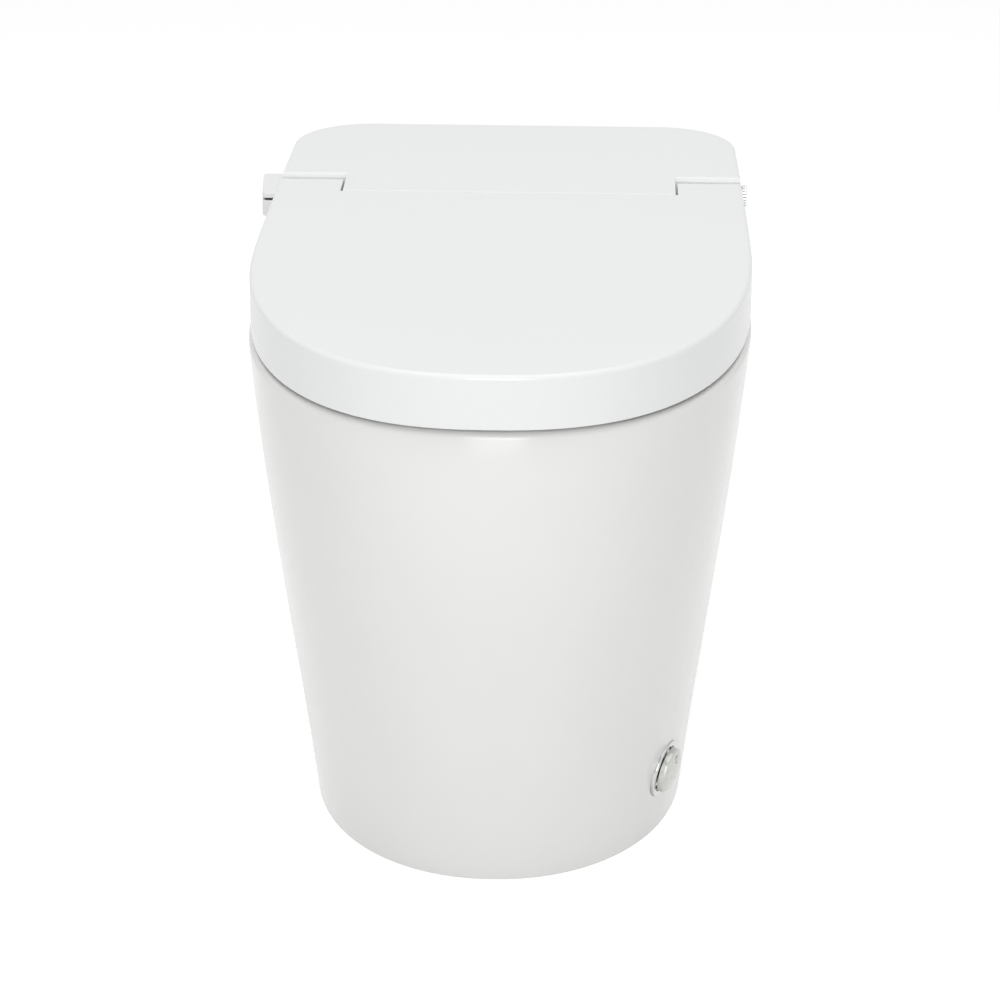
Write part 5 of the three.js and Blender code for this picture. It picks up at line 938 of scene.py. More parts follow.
@dataclass(frozen=True)
class GlazedBody:
    """The casting: skirt, deck, bowl, trap and outlet.

    Its outline runs through four stations from the floor to the rim, by the cubic through them. Pairs are
    values at the floor and at the rim, with even steps between them.
    """

    # The outside, with its stations as shares of the height
    rim_height: float = 0.400
    station_shares: Tuple[float, ...] = (0.0, 0.25, 0.6, 1.0)
    widths: Tuple[float, ...] = (0.3024, 0.327, 0.3644, 0.4008)
    reaches: Tuple[float, ...] = (0.2686, 0.303, 0.3377, 0.3365)
    nose_starts: Pair = (-0.066, -0.046)
    nose_exponents: Pair = (2.09, 2.37)
    back: float = 0.3395
    back_narrowing: float = 0.0043
    corner_radius: float = 0.060
    rim_round: float = 0.005
    edge_round: float = 0.0012
    # Its walls
    wall: float = 0.011
    deck: float = 0.014
    bowl_wall: float = 0.010
    web_half: float = 0.008
    web_height: float = 0.050
    # Bowl and sump
    bowl_mouth: Oval = Oval(half_width=0.128, front=-0.283, back=0.072, exponent=2.2)
    sump: Oval = Oval(half_width=0.036, front=-0.114, back=-0.030, exponent=2.2)
    sump_floor: float = 0.096
    depth_shares: Tuple[float, ...] = (0.0, 0.06, 0.2, 0.42, 0.64, 0.82, 0.95, 1.0)
    openness_shares: Tuple[float, ...] = (1.0, 1.0, 0.93, 0.74, 0.47, 0.2, 0.04, 0.0)
    back_shares: Tuple[float, ...] = (1.0, 1.0, 0.95, 0.55, 0.14, 0.02, 0.0, 0.0)
    floor_round: float = 0.012
    floor_round_share: float = 0.06
    mouth_round: float = 0.008
    bowl_under_deck: float = 0.001
    # Trap and outlet
    trap_radius: float = 0.027
    trap_wall: float = 0.009
    outlet_y: float = 0.0925
    trap_rise_y: float = 0.026
    trap_inlet_z: float = 0.128
    trap_dip_z: float = 0.110
    trap_bend_z: float = 0.190
    collar_radius: float = 0.052
    collar_low: float = 0.0076
    collar_high: float = 0.0376
    # Openings of the deck
    bay_half: float = 0.066
    bay_front: float = 0.040
    bay_depth: float = 0.050
    deck_hole_half: float = 0.160
    deck_hole_front: float = 0.134
    deck_hole_back: float = 0.312
    deck_hole_corner: float = 0.024
    # Holes for the fittings
    button_seat_radius: float = 0.0238
    button_seat_depth: float = 0.0036
    button_hole_radius: float = 0.0123
    button_hole_depth: float = 0.033
    screw_face_radius: float = 0.0093
    screw_radius: float = 0.0038
    screw_y: float = 0.205
    screw_z: float = 0.030
    screw_face_below: float = 0.009
    jet_radius: float = 0.0073
    jet_z: float = 0.330
    anchor_radius: float = 0.0043
    anchor_x: float = 0.172
    anchor_y: float = 0.192

    @property
    def trap_outer_radius(self) -> float:
        """Radius of the trap over its wall."""
        return self.trap_radius + self.trap_wall

    @property
    def under_deck(self) -> float:
        """Height just below the deck, where its cutters start."""
        return self.rim_height - self.deck - OVERRUN

    def _through_stations(self, values: Sequence[float], share: float) -> float:
        """Runs the cubic through the values at the four stations.

        Args:
            values: one value for each station.
            share: how far up from the floor to the rim.

        Returns:
            The value there.
        """
        total = 0.0
        for i, value in enumerate(values):
            weight = 1.0
            for j, station in enumerate(self.station_shares):
                if i != j:
                    weight *= (share - station) / (self.station_shares[i] - station)
            total += value * weight
        return total

    def outline(self, z: float) -> DShape:
        """Gives the body's outline at a height.

        Args:
            z: the height.

        Returns:
            The outline's sizes.
        """
        share = z / self.rim_height
        half_width = self._through_stations(self.widths, share) / 2
        return DShape(
            half_width=half_width,
            front=-self._through_stations(self.reaches, share),
            nose_start=lerp(*self.nose_starts, share),
            nose_exponent=lerp(*self.nose_exponents, share),
            back=self.back,
            back_half_width=half_width - self.back_narrowing,
            corner_radius=self.corner_radius,
        )

    def square_to_glaze(self, y: float, z: float) -> Matrix:
        """Finds the axes at a point on the right flank.

        Args:
            y: the point's place along Y.
            z: its height.

        Returns:
            A place on the glaze with +Z square to it and +Y up.
        """
        step = self.wall
        x = self.outline(z).half_width_at(y)
        along_y = Vector((self.outline(z).half_width_at(y + step) - x, step, 0))
        along_z = Vector((self.outline(z + step).half_width_at(y) - x, 0, step))
        outward = along_y.cross(along_z).normalized()
        up = (Vector(UP) - outward * outward.z).normalized()
        turn = Matrix((up.cross(outward), up, outward)).transposed().to_4x4()
        return Matrix.Translation(Vector((x, y, z))) @ turn

    def build(self, button_place: Matrix) -> None:
        """Builds the body.

        Args:
            button_place: where the foot button sits.
        """
        shell = self._outside("china_glaze")
        combine(shell, Carve.CUT, [self._hollow()])
        outer_trap = self._trap("trap_outside", self.trap_outer_radius)
        outer_bowl = self._bowl("bowl_back", self.bowl_wall)
        combine(shell, Carve.JOIN, [self._web(), *self._collar(), outer_bowl, outer_trap])
        combine(shell, Carve.CUT, [self._bowl("bowl_inside", 0.0), self._mouth()])
        combine(shell, Carve.CUT, [self._trap("trap_inside", self.trap_radius), self._outlet()])
        combine(shell, Carve.CUT, [self._deck_hole(), self._bay(), *self._button_seat(button_place)])
        combine(shell, Carve.CUT, self._screw_faces() + self._small_holes())
        round_edges(shell, self.edge_round)
        finish_piece(shell, Slot.CHINA, Body.BASE, "china_body", "china_bowl", "china_trap")

    def _outside(self, name: str) -> bpy.types.Object:
        """Makes the solid skin, with a round edge at the rim.

        Args:
            name: the object's name.

        Returns:
            The new object.
        """
        straight = self.rim_height - self.rim_round
        rings = [at_height(self.outline(z).points(), z) for z in np.linspace(0, straight, SKIRT_STEPS)]
        for inward, rise in quarter_round(self.rim_round)[1:]:
            z = straight + rise
            rings.append(at_height(self.outline(z).inset(inward).points(), z))
        return loft(name, rings)

    def _hollow(self) -> bpy.types.Object:
        """Makes what the skirt leaves free: the skin drawn in by its wall."""
        heights = np.linspace(-OVERRUN, self.rim_height - self.deck, HOLLOW_STEPS)
        rings = [at_height(self.outline(max(z, 0)).inset(self.wall).points(), z) for z in heights]
        return loft("hollow", rings)

    def _web(self) -> bpy.types.Object:
        """Makes the wall across the hollow that the body stands on in its middle."""
        half = self.outline(self.web_height / 2).half_width_at(0.0) - self.wall / 2
        return box("web", (-half, -self.web_half, 0.0), (half, self.web_half, self.web_height))

    def _collar(self) -> List[bpy.types.Object]:
        """Makes the collar over the floor flange and the spigot that stands in it."""
        length = self.collar_high - self.collar_low
        foot = (0.0, self.outlet_y, self.collar_low)
        return [
            rod("collar", self.collar_radius, foot, UP, length, LARGE_SIDES),
            rod("spigot", self.trap_outer_radius, (0.0, self.outlet_y, 0.0), UP, length, LARGE_SIDES),
        ]

    def _bowl(self, name: str, wall: float) -> bpy.types.Object:
        """Makes the bowl, which narrows from its mouth to the sump along smooth shares of its depth.

        Its last stretch rounds into the floor by the square of the way down it.

        Args:
            name: the object's name.
            wall: how far the shape lies outside the bowl's inner face; 0 for the inner face itself.

        Returns:
            The new object.
        """
        depth = self.rim_height - self.sump_floor
        shares = np.linspace(0, 1, BOWL_STEPS)
        columns = np.column_stack([self.openness_shares, self.back_shares])
        openness = smooth_curve(shares, np.array(self.depth_shares), columns)
        into_floor = np.clip((shares - 1) / self.floor_round_share + 1, 0, 1) ** 2
        top = -self.bowl_under_deck if wall > 0 else OVERRUN
        rings = []
        for share, (open_share, back_share), rounded in zip(shares, openness, into_floor):
            hollow = Oval(
                half_width=lerp(self.sump.half_width, self.bowl_mouth.half_width, open_share),
                front=lerp(self.sump.front, self.bowl_mouth.front, open_share),
                back=lerp(self.sump.back, self.bowl_mouth.back, back_share),
                exponent=lerp(self.sump.exponent, self.bowl_mouth.exponent, open_share),
            )
            z = self.rim_height - (depth + wall) * share + (top if share == 0 else 0.0)
            rings.append(at_height(hollow.grown(wall - self.floor_round * rounded).points(), z))
        return loft(name, rings[::-1])

    def _mouth(self) -> bpy.types.Object:
        """Makes the flare that rounds the edge where the deck falls into the bowl."""
        return flare("mouth", self.bowl_mouth, self.rim_height, self.mouth_round)

    def _trap(self, name: str, radius: float) -> bpy.types.Object:
        """Makes a pipe that dips from the sump, climbs to its weir and falls to the outlet.

        A circle is carried along a smooth line in the middle plane, square to it.

        Args:
            name: the object's name.
            radius: the pipe's radius.

        Returns:
            The new object.
        """
        bend = (self.outlet_y - self.trap_rise_y) / 2
        sump_middle = (self.sump.front + self.sump.back) / 2
        arch = [
            (self.trap_rise_y + bend + bend * math.cos(a), self.trap_bend_z + bend * math.sin(a))
            for a in np.linspace(2 * QUARTER_TURN, 0, TRAP_ARCH_STEPS)
        ]
        corners = np.array(
            [
                (sump_middle, self.trap_inlet_z),
                ((sump_middle + self.trap_rise_y) / 2, self.trap_dip_z),
                (self.trap_rise_y, (self.trap_inlet_z + self.trap_bend_z) / 2),
                *arch,
                (self.outlet_y, self.trap_bend_z / 2),
                (self.outlet_y, (self.collar_high - self.collar_low) / 2),
            ]
        )
        along = np.concatenate([[0], np.cumsum(np.linalg.norm(np.diff(corners, axis=0), axis=1))])
        line = smooth_curve(np.linspace(0, along[-1], TRAP_STEPS), along, corners)
        tangent = np.gradient(line, axis=0)
        tangent /= np.linalg.norm(tangent, axis=1)[:, None]
        across, over = circle_points(radius, SMALL_SIDES).T
        rings = [
            np.column_stack([across, y - over * rise, z + over * run])
            for (y, z), (run, rise) in zip(line, tangent)
        ]
        return loft(name, rings)

    def _outlet(self) -> bpy.types.Object:
        """Makes the bore through the collar's foot."""
        start = (0.0, self.outlet_y, -OVERRUN)
        return rod("outlet", self.trap_radius, start, UP, self.collar_high + OVERRUN)

    def _deck_hole(self) -> bpy.types.Object:
        """Makes the hole in the deck under the rear unit."""
        outline = rounded_rectangle(
            self.deck_hole_half, self.deck_hole_front, self.deck_hole_back, self.deck_hole_corner
        )
        return upright("deck_hole", outline, self.under_deck, self.rim_height + OVERRUN)

    def _bay(self) -> bpy.types.Object:
        """Makes the bay in front of that hole, where the wand comes out."""
        low = (-self.bay_half, self.bay_front, self.rim_height - self.bay_depth)
        return box("bay", low, (self.bay_half, self.deck_hole_front + OVERRUN, self.rim_height + OVERRUN))

    def _button_seat(self, place: Matrix) -> List[bpy.types.Object]:
        """Makes the flat seat of the foot button and the hole for its barrel.

        Args:
            place: where the button sits.

        Returns:
            Both cutters.
        """
        seat = [(self.button_seat_radius, -self.button_seat_depth), (self.button_seat_radius, FAR)]
        hole = [(self.button_hole_radius, -self.button_hole_depth), (self.button_hole_radius, 0.0)]
        return [turned("button_seat", seat, place), turned("button_hole", hole, place)]

    def _screw_faces(self) -> List[bpy.types.Object]:
        """Makes the holes of the floor screws and a flat face round each."""
        face = self.outline(self.screw_z - self.screw_face_below).half_width_at(self.screw_y)
        start = (-FAR, self.screw_y, self.screw_z)
        cutters = [rod("screws", self.screw_radius, start, ALONG_X, 2 * FAR)]
        for _, low, _ in on_both_sides(face, face + FAR):
            start = (low, self.screw_y, self.screw_z)
            cutters.append(rod("screw_face", self.screw_face_radius, start, ALONG_X, FAR, LARGE_SIDES))
        return cutters

    def _small_holes(self) -> List[bpy.types.Object]:
        """Makes the hole for the flush jet and those for the anchors of the rear unit."""
        jet_start = (0.0, self.sump.back, self.jet_z)
        holes = [rod("jet_hole", self.jet_radius, jet_start, ALONG_Y, self.deck_hole_front)]
        for x in (-self.anchor_x, self.anchor_x):
            start = (x, self.anchor_y, self.under_deck)
            holes.append(rod("anchor_hole", self.anchor_radius, start, UP, FAR))
        return holes


# Lid, seat and rear cover


@dataclass(frozen=True)
class TopShell:
    """The shell that the lid and the rear cover share, and the hinge line between them."""

    length: float = 0.685
    width: float = 0.400
    bottom: float = 0.404
    height: float = 0.042
    nose_start: float = -0.020
    nose_exponent: float = 2.40
    back_narrowing: float = 0.0043
    corner_radius: float = 0.067
    edge_round: float = 0.004
    seam_y: float = 0.175
    seam_gap: float = 0.002
    tongue_side: float = 0.141
    tongue_front: float = 0.1245
    tongue_gap: float = 0.002
    pin_radius: float = 0.00545

    @property
    def top(self) -> float:
        """Height of the flat top."""
        return self.bottom + self.height

    @property
    def ear_radius(self) -> float:
        """Radius of the lid's round ends at the hinge."""
        return self.height / 2

    @property
    def hinge_y(self) -> float:
        """Place of the hinge line along Y."""
        return self.seam_y - self.ear_radius

    @property
    def hinge_z(self) -> float:
        """Height of the hinge line."""
        return self.bottom + self.ear_radius

    @property
    def shape(self) -> DShape:
        """The outline from above."""
        return DShape(
            half_width=self.width / 2,
            front=-self.length / 2,
            nose_start=self.nose_start,
            nose_exponent=self.nose_exponent,
            back=self.length / 2,
            back_half_width=self.width / 2 - self.back_narrowing,
            corner_radius=self.corner_radius,
        )

    def block(
        self, name: str, inset: float, bottom: float, top: float, edge: float, foot: float = 0.0
    ) -> bpy.types.Object:
        """Makes a block of the outline with a round top edge.

        Args:
            name: the object's name.
            inset: how far its sides are drawn in.
            bottom: height of its bottom.
            top: height of its top.
            edge: radius of the top edge.
            foot: radius of the bottom edge.

        Returns:
            The new object.
        """
        under = quarter_round(foot, FOOT_STEPS)[::-1] if foot else [(0.0, 0.0)]
        rings = [
            at_height(self.shape.inset(inset + inward).points(), bottom + foot - rise)
            for inward, rise in under
        ]
        for inward, rise in quarter_round(edge):
            rings.append(at_height(self.shape.inset(inset + inward).points(), top - edge + rise))
        return loft(name, rings)

    def hinge_bar(self, name: str, radius: float, start: float, end: float) -> bpy.types.Object:
        """Makes a round bar on the hinge line, from one X to a higher one."""
        return rod(name, radius, (start, self.hinge_y, self.hinge_z), ALONG_X, end - start, LARGE_SIDES)


@dataclass(frozen=True)
class Lid:
    """The lid: a shell with ears that turn between the cover's tongue and its flanks."""

    shell: TopShell
    wall: float = 0.004
    cheek: float = 0.003
    web_start: float = 0.172
    web_end: float = 0.180
    disc_shrink: float = 0.002
    arm_slot_depth: float = 0.013
    boss_radius: float = 0.009
    boss_bottom: float = 0.4321
    boss_x: float = 0.078
    boss_y: float = -0.300
    edge_round: float = 0.0007

    @property
    def notch_side(self) -> float:
        """Half the width of the notch that the tongue stands in."""
        return self.shell.tongue_side + self.shell.tongue_gap

    def build(self) -> None:
        """Builds the lid."""
        shell = self.shell
        under = shell.bottom - OVERRUN
        lid = shell.block("lid_shell", 0.0, shell.bottom, shell.top, shell.edge_round, self.edge_round)
        combine(lid, Carve.KEEP_SHARED, [sideways("ears", self._side_view(0.0), FAR)])
        inner_edge = shell.edge_round - self.wall / 2
        inside = shell.block("lid_inside", self.wall, under, shell.top - self.wall, inner_edge)
        combine(inside, Carve.KEEP_SHARED, [sideways("inner_ears", self._side_view(self.wall), FAR)])
        side = self.notch_side
        front = shell.tongue_front - shell.tongue_gap
        notch = box("notch", (-side, front, under), (side, FAR, shell.top + OVERRUN))
        combine(lid, Carve.CUT, [inside, notch] + self._arm_slots())
        combine(lid, Carve.JOIN, self._discs() + self._bosses())
        reach = self.web_end + self.wall
        combine(lid, Carve.CUT, [shell.hinge_bar("lid_bore", shell.pin_radius, -reach, reach)])
        round_edges(lid, self.edge_round)
        finish_piece(lid, Slot.GLOSS_PLASTIC, Body.LID, "lid")

    def _side_view(self, wall: float) -> np.ndarray:
        """Draws the lid from the side: straight in front of the hinge line and round about it behind.

        Args:
            wall: how far inside the outer face.

        Returns:
            An (N, 2) array of Y and Z.
        """
        shell = self.shell
        radius = shell.ear_radius - wall
        low = shell.bottom - OVERRUN
        angle = np.linspace(-QUARTER_TURN, QUARTER_TURN, EAR_STEPS)
        arc_y = shell.hinge_y + radius * np.cos(angle)
        arc_z = shell.hinge_z + radius * np.sin(angle)
        arc = np.column_stack([arc_y, arc_z])
        return np.vstack([[(-FAR, low), (shell.hinge_y, low)], arc, [(-FAR, shell.hinge_z + radius)]])

    def _arm_slots(self) -> List[bpy.types.Object]:
        """Makes the slots in the ears that the seat's arms stand in."""
        shell = self.shell
        slots = []
        for side, low, high in on_both_sides(self.notch_side + self.cheek, self.web_start):
            start = (low, shell.hinge_y - OVERRUN, shell.bottom - OVERRUN)
            end = (high, shell.hinge_y + self.arm_slot_depth, shell.hinge_z)
            slots.append(box(f"arm_slot_{side}", start, end))
        return slots

    def _discs(self) -> List[bpy.types.Object]:
        """Makes the discs in the ears that carry the pin."""
        radius = self.shell.ear_radius - self.disc_shrink
        spans = [(self.notch_side, self.notch_side + self.cheek), (self.web_start, self.web_end)]
        return [
            self.shell.hinge_bar(f"disc_{side}", radius, low, high)
            for start, end in spans
            for side, low, high in on_both_sides(start, end)
        ]

    def _bosses(self) -> List[bpy.types.Object]:
        """Makes the bosses over the bumpers."""
        height = self.shell.top - self.wall / 2 - self.boss_bottom
        return [
            rod("boss", self.boss_radius, (x, self.boss_y, self.boss_bottom), UP, height)
            for x in (-self.boss_x, self.boss_x)
        ]


@dataclass(frozen=True)
class SeatRing:
    """The seat: a ring with soft edges and two arms to the hinge."""

    shell: TopShell
    inset: float = 0.007
    bottom: float = 0.4046
    thickness: float = 0.0224
    soft_edge: float = 0.008
    rear: float = 0.104
    hole: Oval = Oval(half_width=0.107, front=-0.262, back=0.034, exponent=2.3)
    arm_height: float = 0.013
    arm_front: float = 0.080
    arm_sink: float = 0.0003
    knuckle_start: float = 0.147
    knuckle_end: float = 0.171
    knuckle_radius: float = 0.012
    edge_round: float = 0.0015
    edge_steps: int = 4

    @property
    def top(self) -> float:
        """Height of the sitting face."""
        return self.bottom + self.thickness

    def build(self) -> None:
        """Builds the seat."""
        seat = self.shell.block(
            "seat_shell", self.inset, self.bottom, self.top, self.soft_edge, self.edge_round
        )
        front_part = box("front_part", (-FAR, -FAR, 0.0), (FAR, self.rear, FAR))
        combine(seat, Carve.KEEP_SHARED, [front_part])
        hole = flare("seat_hole", self.hole, self.top, self.soft_edge, [self.bottom - OVERRUN])
        combine(seat, Carve.CUT, [hole])
        combine(seat, Carve.JOIN, self._arms())
        combine(seat, Carve.CUT, [self.shell.hinge_bar("seat_bore", self.shell.pin_radius, -FAR, FAR)])
        round_edges(seat, self.edge_round, self.edge_steps)
        finish_piece(seat, Slot.GLOSS_PLASTIC, Body.SEAT, "seat_ring")

    def _arms(self) -> List[bpy.types.Object]:
        """Makes the arms and the round knuckles at their ends."""
        made = []
        for side, low, high in on_both_sides(self.knuckle_start, self.knuckle_end):
            start = (low, self.arm_front, self.top - self.arm_height)
            made.append(box(f"arm_{side}", start, (high, self.shell.hinge_y, self.top - self.arm_sink)))
            made.append(self.shell.hinge_bar(f"knuckle_{side}", self.knuckle_radius, low, high))
        return made


@dataclass(frozen=True)
class RearCover:
    """The fixed cover behind the lid, with its tongue between the lid's ears and holes for the fittings."""

    shell: TopShell
    wall: float = 0.003
    front_round: float = 0.005
    edge_round: float = 0.0007
    pin_hole_radius: float = 0.0053
    port_z: float = 0.424
    inlet_x: float = -0.060
    inlet_hole_radius: float = 0.0093
    gland_x: float = 0.090
    gland_hole_radius: float = 0.0083
    knob_hole_radius: float = 0.0033
    flank_inside: float = 0.185
    key_window_half: float = 0.008

    def build(self, key_box: "KeyBox", knob: "WaterKnob") -> None:
        """Builds the cover.

        Args:
            key_box: the box whose key reaches through the left flank.
            knob: the knob whose shaft reaches through the right flank.
        """
        shell = self.shell
        ceiling = shell.top - self.wall
        under = shell.bottom - OVERRUN
        cover = shell.block("cover_shell", 0.0, shell.bottom, shell.top, shell.edge_round, self.edge_round)
        combine(cover, Carve.KEEP_SHARED, [self._region("region", 0.0, shell.top)])
        inside = shell.block("cover_inside", self.wall, under, ceiling, shell.edge_round - self.wall / 2)
        combine(inside, Carve.KEEP_SHARED, [self._region("inner_region", self.wall, ceiling)])
        combine(cover, Carve.CUT, [inside] + self._holes(key_box, knob))
        round_edges(cover, self.edge_round)
        finish_piece(cover, Slot.GLOSS_PLASTIC, Body.BASE, "rear_cover")

    def _region(self, name: str, wall: float, high: float) -> bpy.types.Object:
        """Makes the space behind the lid: two shoulders and the tongue.

        Args:
            name: the object's name.
            wall: how far inside the outer face.
            high: height of its top.

        Returns:
            The new object.
        """
        shell = self.shell
        shoulders = sideways(name, self._side_view(shell.seam_y + shell.seam_gap, wall, high), FAR)
        tongue_view = self._side_view(shell.tongue_front, wall, high)
        tongue = sideways(name + "_tongue", tongue_view, shell.tongue_side - wall)
        return combine(shoulders, Carve.JOIN, [tongue])

    def _side_view(self, face: float, wall: float, high: float) -> np.ndarray:
        """Draws the cover from the side, behind a front face whose top edge is round.

        Args:
            face: the front face's place along Y.
            wall: how far inside the outer face.
            high: height of the top.

        Returns:
            An (N, 2) array of Y and Z.
        """
        low = self.shell.bottom - 2 * OVERRUN
        radius = self.front_round - wall / 2
        steps = np.array(quarter_round(radius))
        edge = np.array([face + wall, high - radius]) + steps
        return np.vstack([[(face + wall, low), (FAR, low), (FAR, high)], edge[::-1]])

    def _holes(self, key_box: "KeyBox", knob: "WaterKnob") -> List[bpy.types.Object]:
        """Makes the holes for the pins, water inlet, gland, knob shaft and key stem.

        Args:
            key_box: the box whose key reaches through the left flank.
            knob: the knob whose shaft reaches through the right flank.

        Returns:
            The cutters.
        """
        back = self.shell.length / 2 - 2 * OVERRUN
        side = self.shell.tongue_side + OVERRUN
        low = (-FAR, key_box.middle - self.key_window_half, key_box.bottom + 2 * key_box.wall)
        window_top = key_box.top - 2 * key_box.key_thickness
        high = (-self.flank_inside, key_box.middle + self.key_window_half, window_top)
        return [
            self.shell.hinge_bar("pin_holes", self.pin_hole_radius, -side, side),
            rod("inlet_hole", self.inlet_hole_radius, (self.inlet_x, back, self.port_z), ALONG_Y, FAR),
            rod("gland_hole", self.gland_hole_radius, (self.gland_x, back, self.port_z), ALONG_Y, FAR),
            rod("knob_hole", self.knob_hole_radius, (self.flank_inside, knob.y, knob.z), ALONG_X, FAR),
            box("key_window", low, high),
        ]


# Controls on the flanks


@dataclass(frozen=True)
class KeyBox:
    """The box with the flush key on the left flank: a tray and the key that is its whole top."""

    shell: TopShell
    front: float = 0.1765
    length: float = 0.061
    reach: float = 0.2155
    flare: float = 0.004
    top: float = 0.4275
    height: float = 0.021
    wall: float = 0.0024
    key_thickness: float = 0.005
    seam: float = 0.002
    corner: float = 0.004
    inner: float = 0.194
    skin_gap: float = 0.0003
    stem_radius: float = 0.002
    stem_above_floor: float = 0.0063
    tray_round: float = 0.0008
    tray_round_steps: int = 4
    key_round: float = 0.0014
    key_round_steps: int = 5

    @property
    def bottom(self) -> float:
        """Height of the tray's bottom."""
        return self.top - self.height

    @property
    def middle(self) -> float:
        """Place of the box's middle along Y."""
        return self.front + self.length / 2

    def build(self) -> None:
        """Builds both pieces."""
        key_bottom = self.top - self.key_thickness
        tray = upright("key_tray", self._outline(0.0), self.bottom, key_bottom - self.seam)
        hollow = upright("tray_hollow", self._outline(self.wall), self.bottom + self.wall, FAR)
        combine(tray, Carve.CUT, [hollow, self._flank("tray_side")])
        round_edges(tray, self.tray_round, self.tray_round_steps)
        finish_piece(tray, Slot.GLOSS_PLASTIC, Body.BASE, "key_box_tray")
        key = upright("key_cap", self._outline(0.0), key_bottom, self.top)
        stem_x = -(self.shell.width / 2 + self.reach) / 2
        stem_bottom = self.bottom + self.wall + self.stem_above_floor
        stem_length = key_bottom + self.key_thickness / 2 - stem_bottom
        stem = rod("stem", self.stem_radius, (stem_x, self.middle, stem_bottom), UP, stem_length)
        combine(key, Carve.JOIN, [stem])
        combine(key, Carve.CUT, [self._flank("key_side")])
        round_edges(key, self.key_round, self.key_round_steps)
        finish_piece(key, Slot.GLOSS_PLASTIC, Body.KEY, "flush_key")

    def _outline(self, inset: float) -> np.ndarray:
        """Draws the box from above; its outer end flares a little to the back.

        Args:
            inset: how far the outline is drawn in.

        Returns:
            An (N, 2) array of points.
        """
        front = self.front + inset
        back = self.front + self.length - inset
        front_reach = self.reach - inset
        back_reach = front_reach + self.flare
        inward, rise = np.array(quarter_round(self.corner - inset)).T
        corner = self.corner - inset
        back_corner = np.column_stack([-back_reach + corner - rise, back - inward])
        front_corner = np.column_stack([-front_reach + inward, front + corner - rise])
        return np.vstack([[(-self.inner, front), (-self.inner, back)], back_corner, front_corner])

    def _flank(self, name: str) -> bpy.types.Object:
        """Makes the cover's skin, a little proud, which cuts the box to the flank."""
        shell = self.shell
        return shell.block(name, -self.skin_gap, shell.bottom - OVERRUN, shell.top, shell.edge_round)


@dataclass(frozen=True)
class WaterKnob:
    """The knob on the right flank: a ridged chrome cap with a dished face, on a thin shaft."""

    radius: float = 0.0093
    length: float = 0.0046
    reach: float = 0.2038
    ridges: int = 20
    ridge_depth: float = 0.0007
    ridge_power: float = 0.6
    chamfer: float = 0.0006
    rim: float = 0.0022
    dish_depth: float = 0.0004
    y: float = 0.196
    z: float = 0.424
    shaft_radius: float = 0.003
    shaft_start: float = 0.1927

    def build(self) -> None:
        """Builds the knob.

        The cap's radius is drawn in between the ridges by 1 - |cos(ridges a / 2)|^p of their depth, and its
        front edge steps in over the chamfer to a shallow dish.
        """
        angle = np.linspace(0, FULL_TURN, RIDGE_STEPS * self.ridges, endpoint=False)
        swell = np.abs(np.cos(angle * self.ridges / 2)) ** self.ridge_power
        ridged = self.radius - self.ridge_depth * (1 - swell)
        even = np.full_like(angle, self.radius - self.rim)
        base = self.reach - self.length
        levels = [
            (base, ridged - self.chamfer),
            (base + self.chamfer, ridged),
            (self.reach - self.chamfer, ridged),
            (self.reach, ridged - 2 * self.chamfer),
            (self.reach, even),
            (self.reach - self.dish_depth, even - self.dish_depth),
        ]
        rings = [
            np.column_stack(
                [np.full_like(angle, x), self.y + out * np.cos(angle), self.z + out * np.sin(angle)]
            )
            for x, out in levels
        ]
        knob = loft("knob_cap", rings)
        length = self.reach - self.length / 2 - self.shaft_start
        start = (self.shaft_start, self.y, self.z)
        combine(knob, Carve.JOIN, [rod("knob_shaft", self.shaft_radius, start, ALONG_X, length)])
        shade_turned(knob)
        finish_piece(knob, Slot.CHROME, Body.KNOB, "water_knob")


